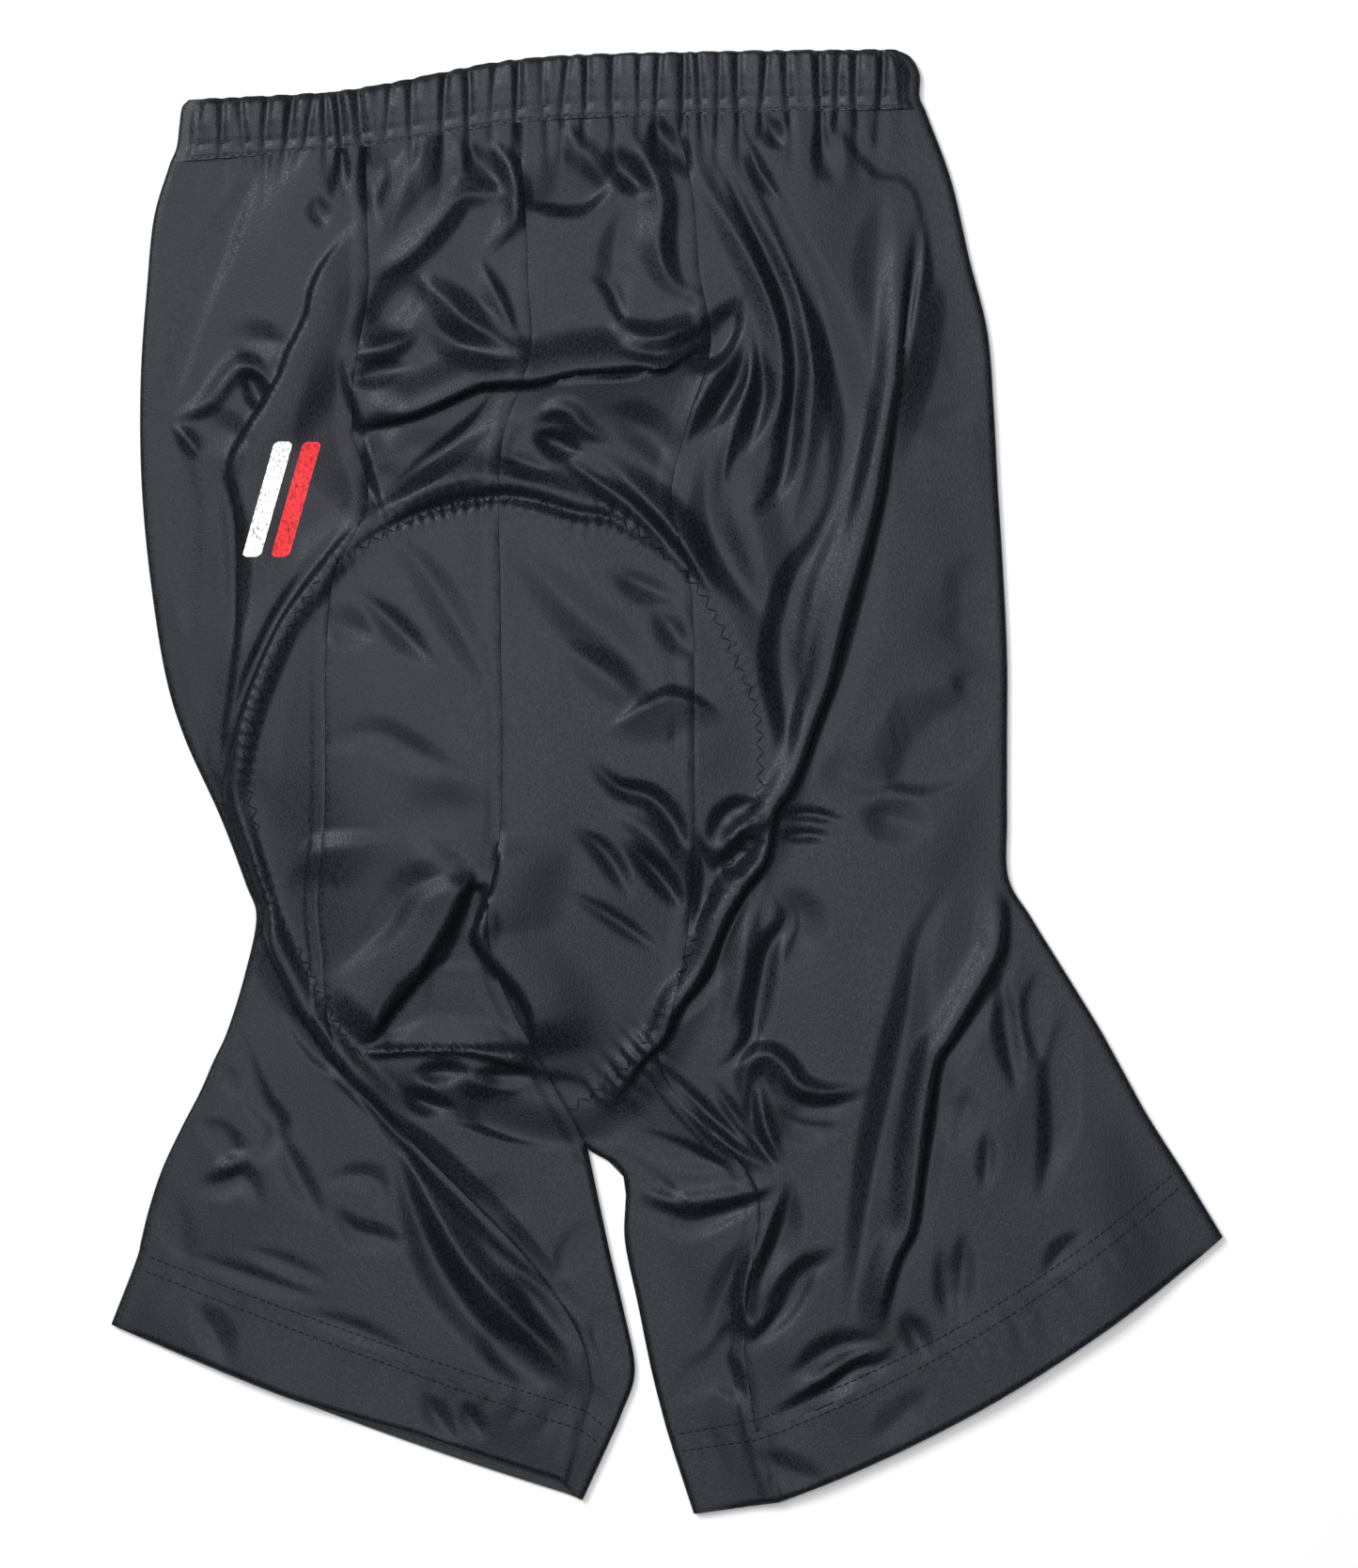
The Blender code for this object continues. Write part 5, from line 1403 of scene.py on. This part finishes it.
def material_for(name):
    """The material of one finish, made the first time that it is asked for."""
    if name in bpy.data.materials:
        return bpy.data.materials[name]
    finish = FINISHES[name]
    return knit_material(name, getattr(colours(), finish.colour), finish)


def dress(piece, material, slot, *nodes):
    piece.data.materials.append(material_for(material))
    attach(piece, "root")
    if nodes:
        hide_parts(*nodes)
    return piece


def halves():
    levels = section_levels(0, HEM_ROW, sizes().step)
    return {"left": Half(LEFT_SECTIONS, levels), "right": Half(RIGHT_SECTIONS, levels)}


class SHORTS_OT_side_panels(bpy.types.Operator):
    """Make the two side panels, which wrap round the hips and legs."""

    bl_idname = "shorts.side_panels"
    bl_label = "Side panels"

    def execute(self, context):
        for side, half in halves().items():
            node = "side_" + side
            piece = dress(side_cloth(node + "_cloth", half), "Satin knit", "stretch_cloth", node)
        return {"FINISHED"}


class SHORTS_OT_back_panels(bpy.types.Operator):
    """Make the two centre back panels, with the pad under them."""

    bl_idname = "shorts.back_panels"
    bl_label = "Centre back panels"

    def execute(self, context):
        for side, half in halves().items():
            node = "centre_back_" + side
            piece = dress(back_cloth(node + "_cloth", half), "Satin knit", "stretch_cloth", node)
        return {"FINISHED"}


class SHORTS_OT_front_panels(bpy.types.Operator):
    """Make the two centre front panels, flat underneath."""

    bl_idname = "shorts.front_panels"
    bl_label = "Centre front panels"

    def execute(self, context):
        levels = section_levels(0, HEM_ROW, UNDER_STEP)
        for side, sections in (("left", LEFT_SECTIONS), ("right", RIGHT_SECTIONS)):
            node = "centre_front_" + side
            cloth = front_cloth(node + "_cloth", Half(sections, levels))
            piece = dress(cloth, "Satin knit", "stretch_cloth", node)
        return {"FINISHED"}


class SHORTS_OT_leg_hems(bpy.types.Operator):
    """Make the two turned leg hems."""

    bl_idname = "shorts.leg_hems"
    bl_label = "Leg hems"

    def execute(self, context):
        levels = np.linspace(HEM_ROW, HEM_EDGE, HEM_LEVELS)
        for side, sections in (("left", LEFT_SECTIONS), ("right", RIGHT_SECTIONS)):
            node = "hem_" + side
            cloth = hem_cloth(node + "_cloth", Half(sections, levels), HEM_STEP[side])
            piece = dress(cloth, "Satin knit", "stretch_cloth", node)
        return {"FINISHED"}


class SHORTS_OT_waist(bpy.types.Operator):
    """Make the gathered waist casing."""

    bl_idname = "shorts.waist"
    bl_label = "Waist casing"

    def execute(self, context):
        piece = dress(casing_cloth("waistband_cloth"), "Gathered knit", "casing_cloth", "waistband")
        return {"FINISHED"}


class SHORTS_OT_seat_pad(bpy.types.Operator):
    """Make the seat pad that lies between the layers."""

    bl_idname = "shorts.seat_pad"
    bl_label = "Seat pad"

    def execute(self, context):
        piece = dress(pad_form("seat_pad_form"), "Pad knit", "pad_cloth", "seat_pad")
        return {"FINISHED"}


class SHORTS_OT_stitching(bpy.types.Operator):
    """Sew the zigzag round the pad, the twin rows of the hems and the rows of the waist."""

    bl_idname = "shorts.stitching"
    bl_label = "Stitching"

    def execute(self, context):
        sewn = []
        for path in (PAD_STITCHES, PAD_STITCHES_LEFT):
            corners = zigzag(smooth_path(on_garment(path)), ZIGZAG_PITCH, ZIGZAG_SWING)
            points = on_upper(corners)
            sewn += list(zip(points[:-1], points[1:]))
        dress(thread_mesh("pad_zigzag", sewn), "Sewing thread", "stretch_cloth")
        dress(thread_mesh("waist_stitches", waist_rows()), "Sewing thread", "casing_cloth")
        for side in ("left", "right"):
            rows = []
            for path in hem_rows(side):
                rows += run_of_stitches(path, on_upper) + run_of_stitches(path, under_side)
            dress(thread_mesh("hem_stitches_" + side, rows), "Sewing thread", "stretch_cloth")
        return {"FINISHED"}


MARK_BARS = (("hip_mark_light", "Light transfer", (286, 532)), ("hip_mark_red", "Red transfer", (316, 532)))
MARK_WIDTH = 7.0
MARK_HEIGHT = 44.0
MARK_SLANT = 0.28
MARK_ROUND = 1.6
MARK_THICKNESS = 0.16
MARK_ROWS = 49
MARK_COLUMNS = 11


class SHORTS_OT_hip_mark(bpy.types.Operator):
    """Lay two plain slanted bars on the left hip."""

    bl_idname = "shorts.hip_mark"
    bl_label = "Hip mark"

    def execute(self, context):
        for name, material, middle in MARK_BARS:
            piece = mark_bar(name, on_garment([middle])[0])
            dress(piece, material, "stretch_cloth")
        return {"FINISHED"}


def mark_bar(name, middle):
    """A thin slanted bar with rounded corners that follows the cloth."""
    up = np.linspace(-1, 1, MARK_ROWS)
    across = np.linspace(-1, 1, MARK_COLUMNS)
    half_height = 0.5 * MARK_HEIGHT
    past_corner = MARK_ROUND - np.minimum(half_height * (1 - np.abs(up)), MARK_ROUND)
    width = 0.5 * MARK_WIDTH - MARK_ROUND + np.sqrt(MARK_ROUND**2 - past_corner**2)
    x = across[None, :] * width[:, None] + MARK_SLANT * half_height * up[:, None]
    y = np.broadcast_to((half_height * up)[:, None], x.shape)
    surface = upper_face(np.dstack([x, y]) + middle)
    lift = MARK_THICKNESS * grid_normals(surface)
    return wall_mesh(name, surface + lift, surface - 0.5 * lift)


CAMERA_HEIGHT = 2.2
CAMERA_SENSOR = 24.0
FLOOR_SIZE = 8.0
FLOOR_DROP = 0.0012
FLOOR_COLOUR = (0.90, 0.90, 0.90, 1.0)
FLOOR_ROUGHNESS = 0.9
SKY_COLOUR = (1.0, 1.0, 1.0, 1.0)
SKY_STRENGTH = 0.06

# Name, place and size in metres, and power in watts of each lamp.
LIGHTS = (
    ("overhead", (0.02, 0.10, 2.5), (1.4, 1.8), 42.0),
    ("key", (-1.35, 1.15, 2.1), (1.2, 1.2), 64.0),
)


class SHORTS_OT_stage(bpy.types.Operator):
    """Set the floor, the lights and the camera straight above."""

    bl_idname = "shorts.stage"
    bl_label = "Stage"

    def execute(self, context):
        scene = context.scene
        bpy.ops.mesh.primitive_plane_add(size=FLOOR_SIZE, location=(0, 0, -FLOOR_DROP))
        floor = context.object
        floor.name = "floor"
        paper = bpy.data.materials.new("Pale floor")
        paper.use_nodes = True
        surface = paper.node_tree.nodes["Principled BSDF"]
        surface.inputs["Base Color"].default_value = FLOOR_COLOUR
        surface.inputs["Roughness"].default_value = FLOOR_ROUGHNESS
        floor.data.materials.append(paper)
        world = bpy.data.worlds.new("studio")
        world.use_nodes = True
        sky = world.node_tree.nodes["Background"]
        sky.inputs["Color"].default_value = SKY_COLOUR
        sky.inputs["Strength"].default_value = SKY_STRENGTH
        scene.world = world
        scene.view_settings.view_transform = "Standard"
        for name, place, size, power in LIGHTS:
            light = bpy.data.lights.new(name, "AREA")
            light.shape = "RECTANGLE"
            light.size, light.size_y = size
            light.energy = power
            lamp = bpy.data.objects.new(name, light)
            lamp.location = place
            aim = -np.array(place)
            tilt = math.acos(-aim[2] / np.linalg.norm(aim))
            lamp.rotation_euler = (tilt, 0, math.atan2(aim[1], aim[0]) - math.pi / 2)
            scene.collection.objects.link(lamp)
        centre = on_garment([(0.5 * PHOTO_SIZE[0], 0.5 * PHOTO_SIZE[1])])[0] * MM
        camera = bpy.data.objects.new("camera", bpy.data.cameras.new("camera"))
        camera.data.sensor_fit = "VERTICAL"
        camera.data.sensor_height = CAMERA_SENSOR
        camera.data.lens = CAMERA_SENSOR * CAMERA_HEIGHT / (PHOTO_SIZE[1] * PHOTO_SCALE * MM)
        camera.location = (centre[0], centre[1], CAMERA_HEIGHT)
        scene.collection.objects.link(camera)
        scene.camera = camera
        return {"FINISHED"}


class SHORTS_PT_parts(bpy.types.Panel):
    """Lists the pieces of the shorts and their sizes and colours."""

    bl_idname = "SHORTS_PT_parts"
    bl_label = "Cycling shorts"
    bl_space_type = "VIEW_3D"
    bl_region_type = "UI"
    bl_category = "Shorts"

    def draw(self, context):
        for group in (context.scene.shorts_sizes, context.scene.shorts_colours):
            box = self.layout.box()
            for name in group.__annotations__:
                box.prop(group, name)
        for operator in OPERATORS:
            self.layout.operator(operator.bl_idname)


OPERATORS = (
    SHORTS_OT_side_panels,
    SHORTS_OT_back_panels,
    SHORTS_OT_front_panels,
    SHORTS_OT_leg_hems,
    SHORTS_OT_waist,
    SHORTS_OT_seat_pad,
    SHORTS_OT_stitching,
    SHORTS_OT_hip_mark,
    SHORTS_OT_stage,
)
CLASSES = (ClothSizes, ClothColours) + OPERATORS + (SHORTS_PT_parts,)


def register():
    for item in CLASSES:
        bpy.utils.register_class(item)
    bpy.types.Scene.shorts_sizes = PointerProperty(type=ClothSizes)
    bpy.types.Scene.shorts_colours = PointerProperty(type=ClothColours)


def unregister():
    del bpy.types.Scene.shorts_sizes
    del bpy.types.Scene.shorts_colours
    for item in reversed(CLASSES):
        bpy.utils.unregister_class(item)


def main():
    register()
    bpy.ops.shorts.side_panels()
    bpy.ops.shorts.back_panels()
    bpy.ops.shorts.front_panels()
    bpy.ops.shorts.leg_hems()
    bpy.ops.shorts.waist()
    bpy.ops.shorts.seat_pad()
    bpy.ops.shorts.stitching()
    bpy.ops.shorts.hip_mark()
    bpy.ops.shorts.stage()


if __name__ == "__main__":
    main()
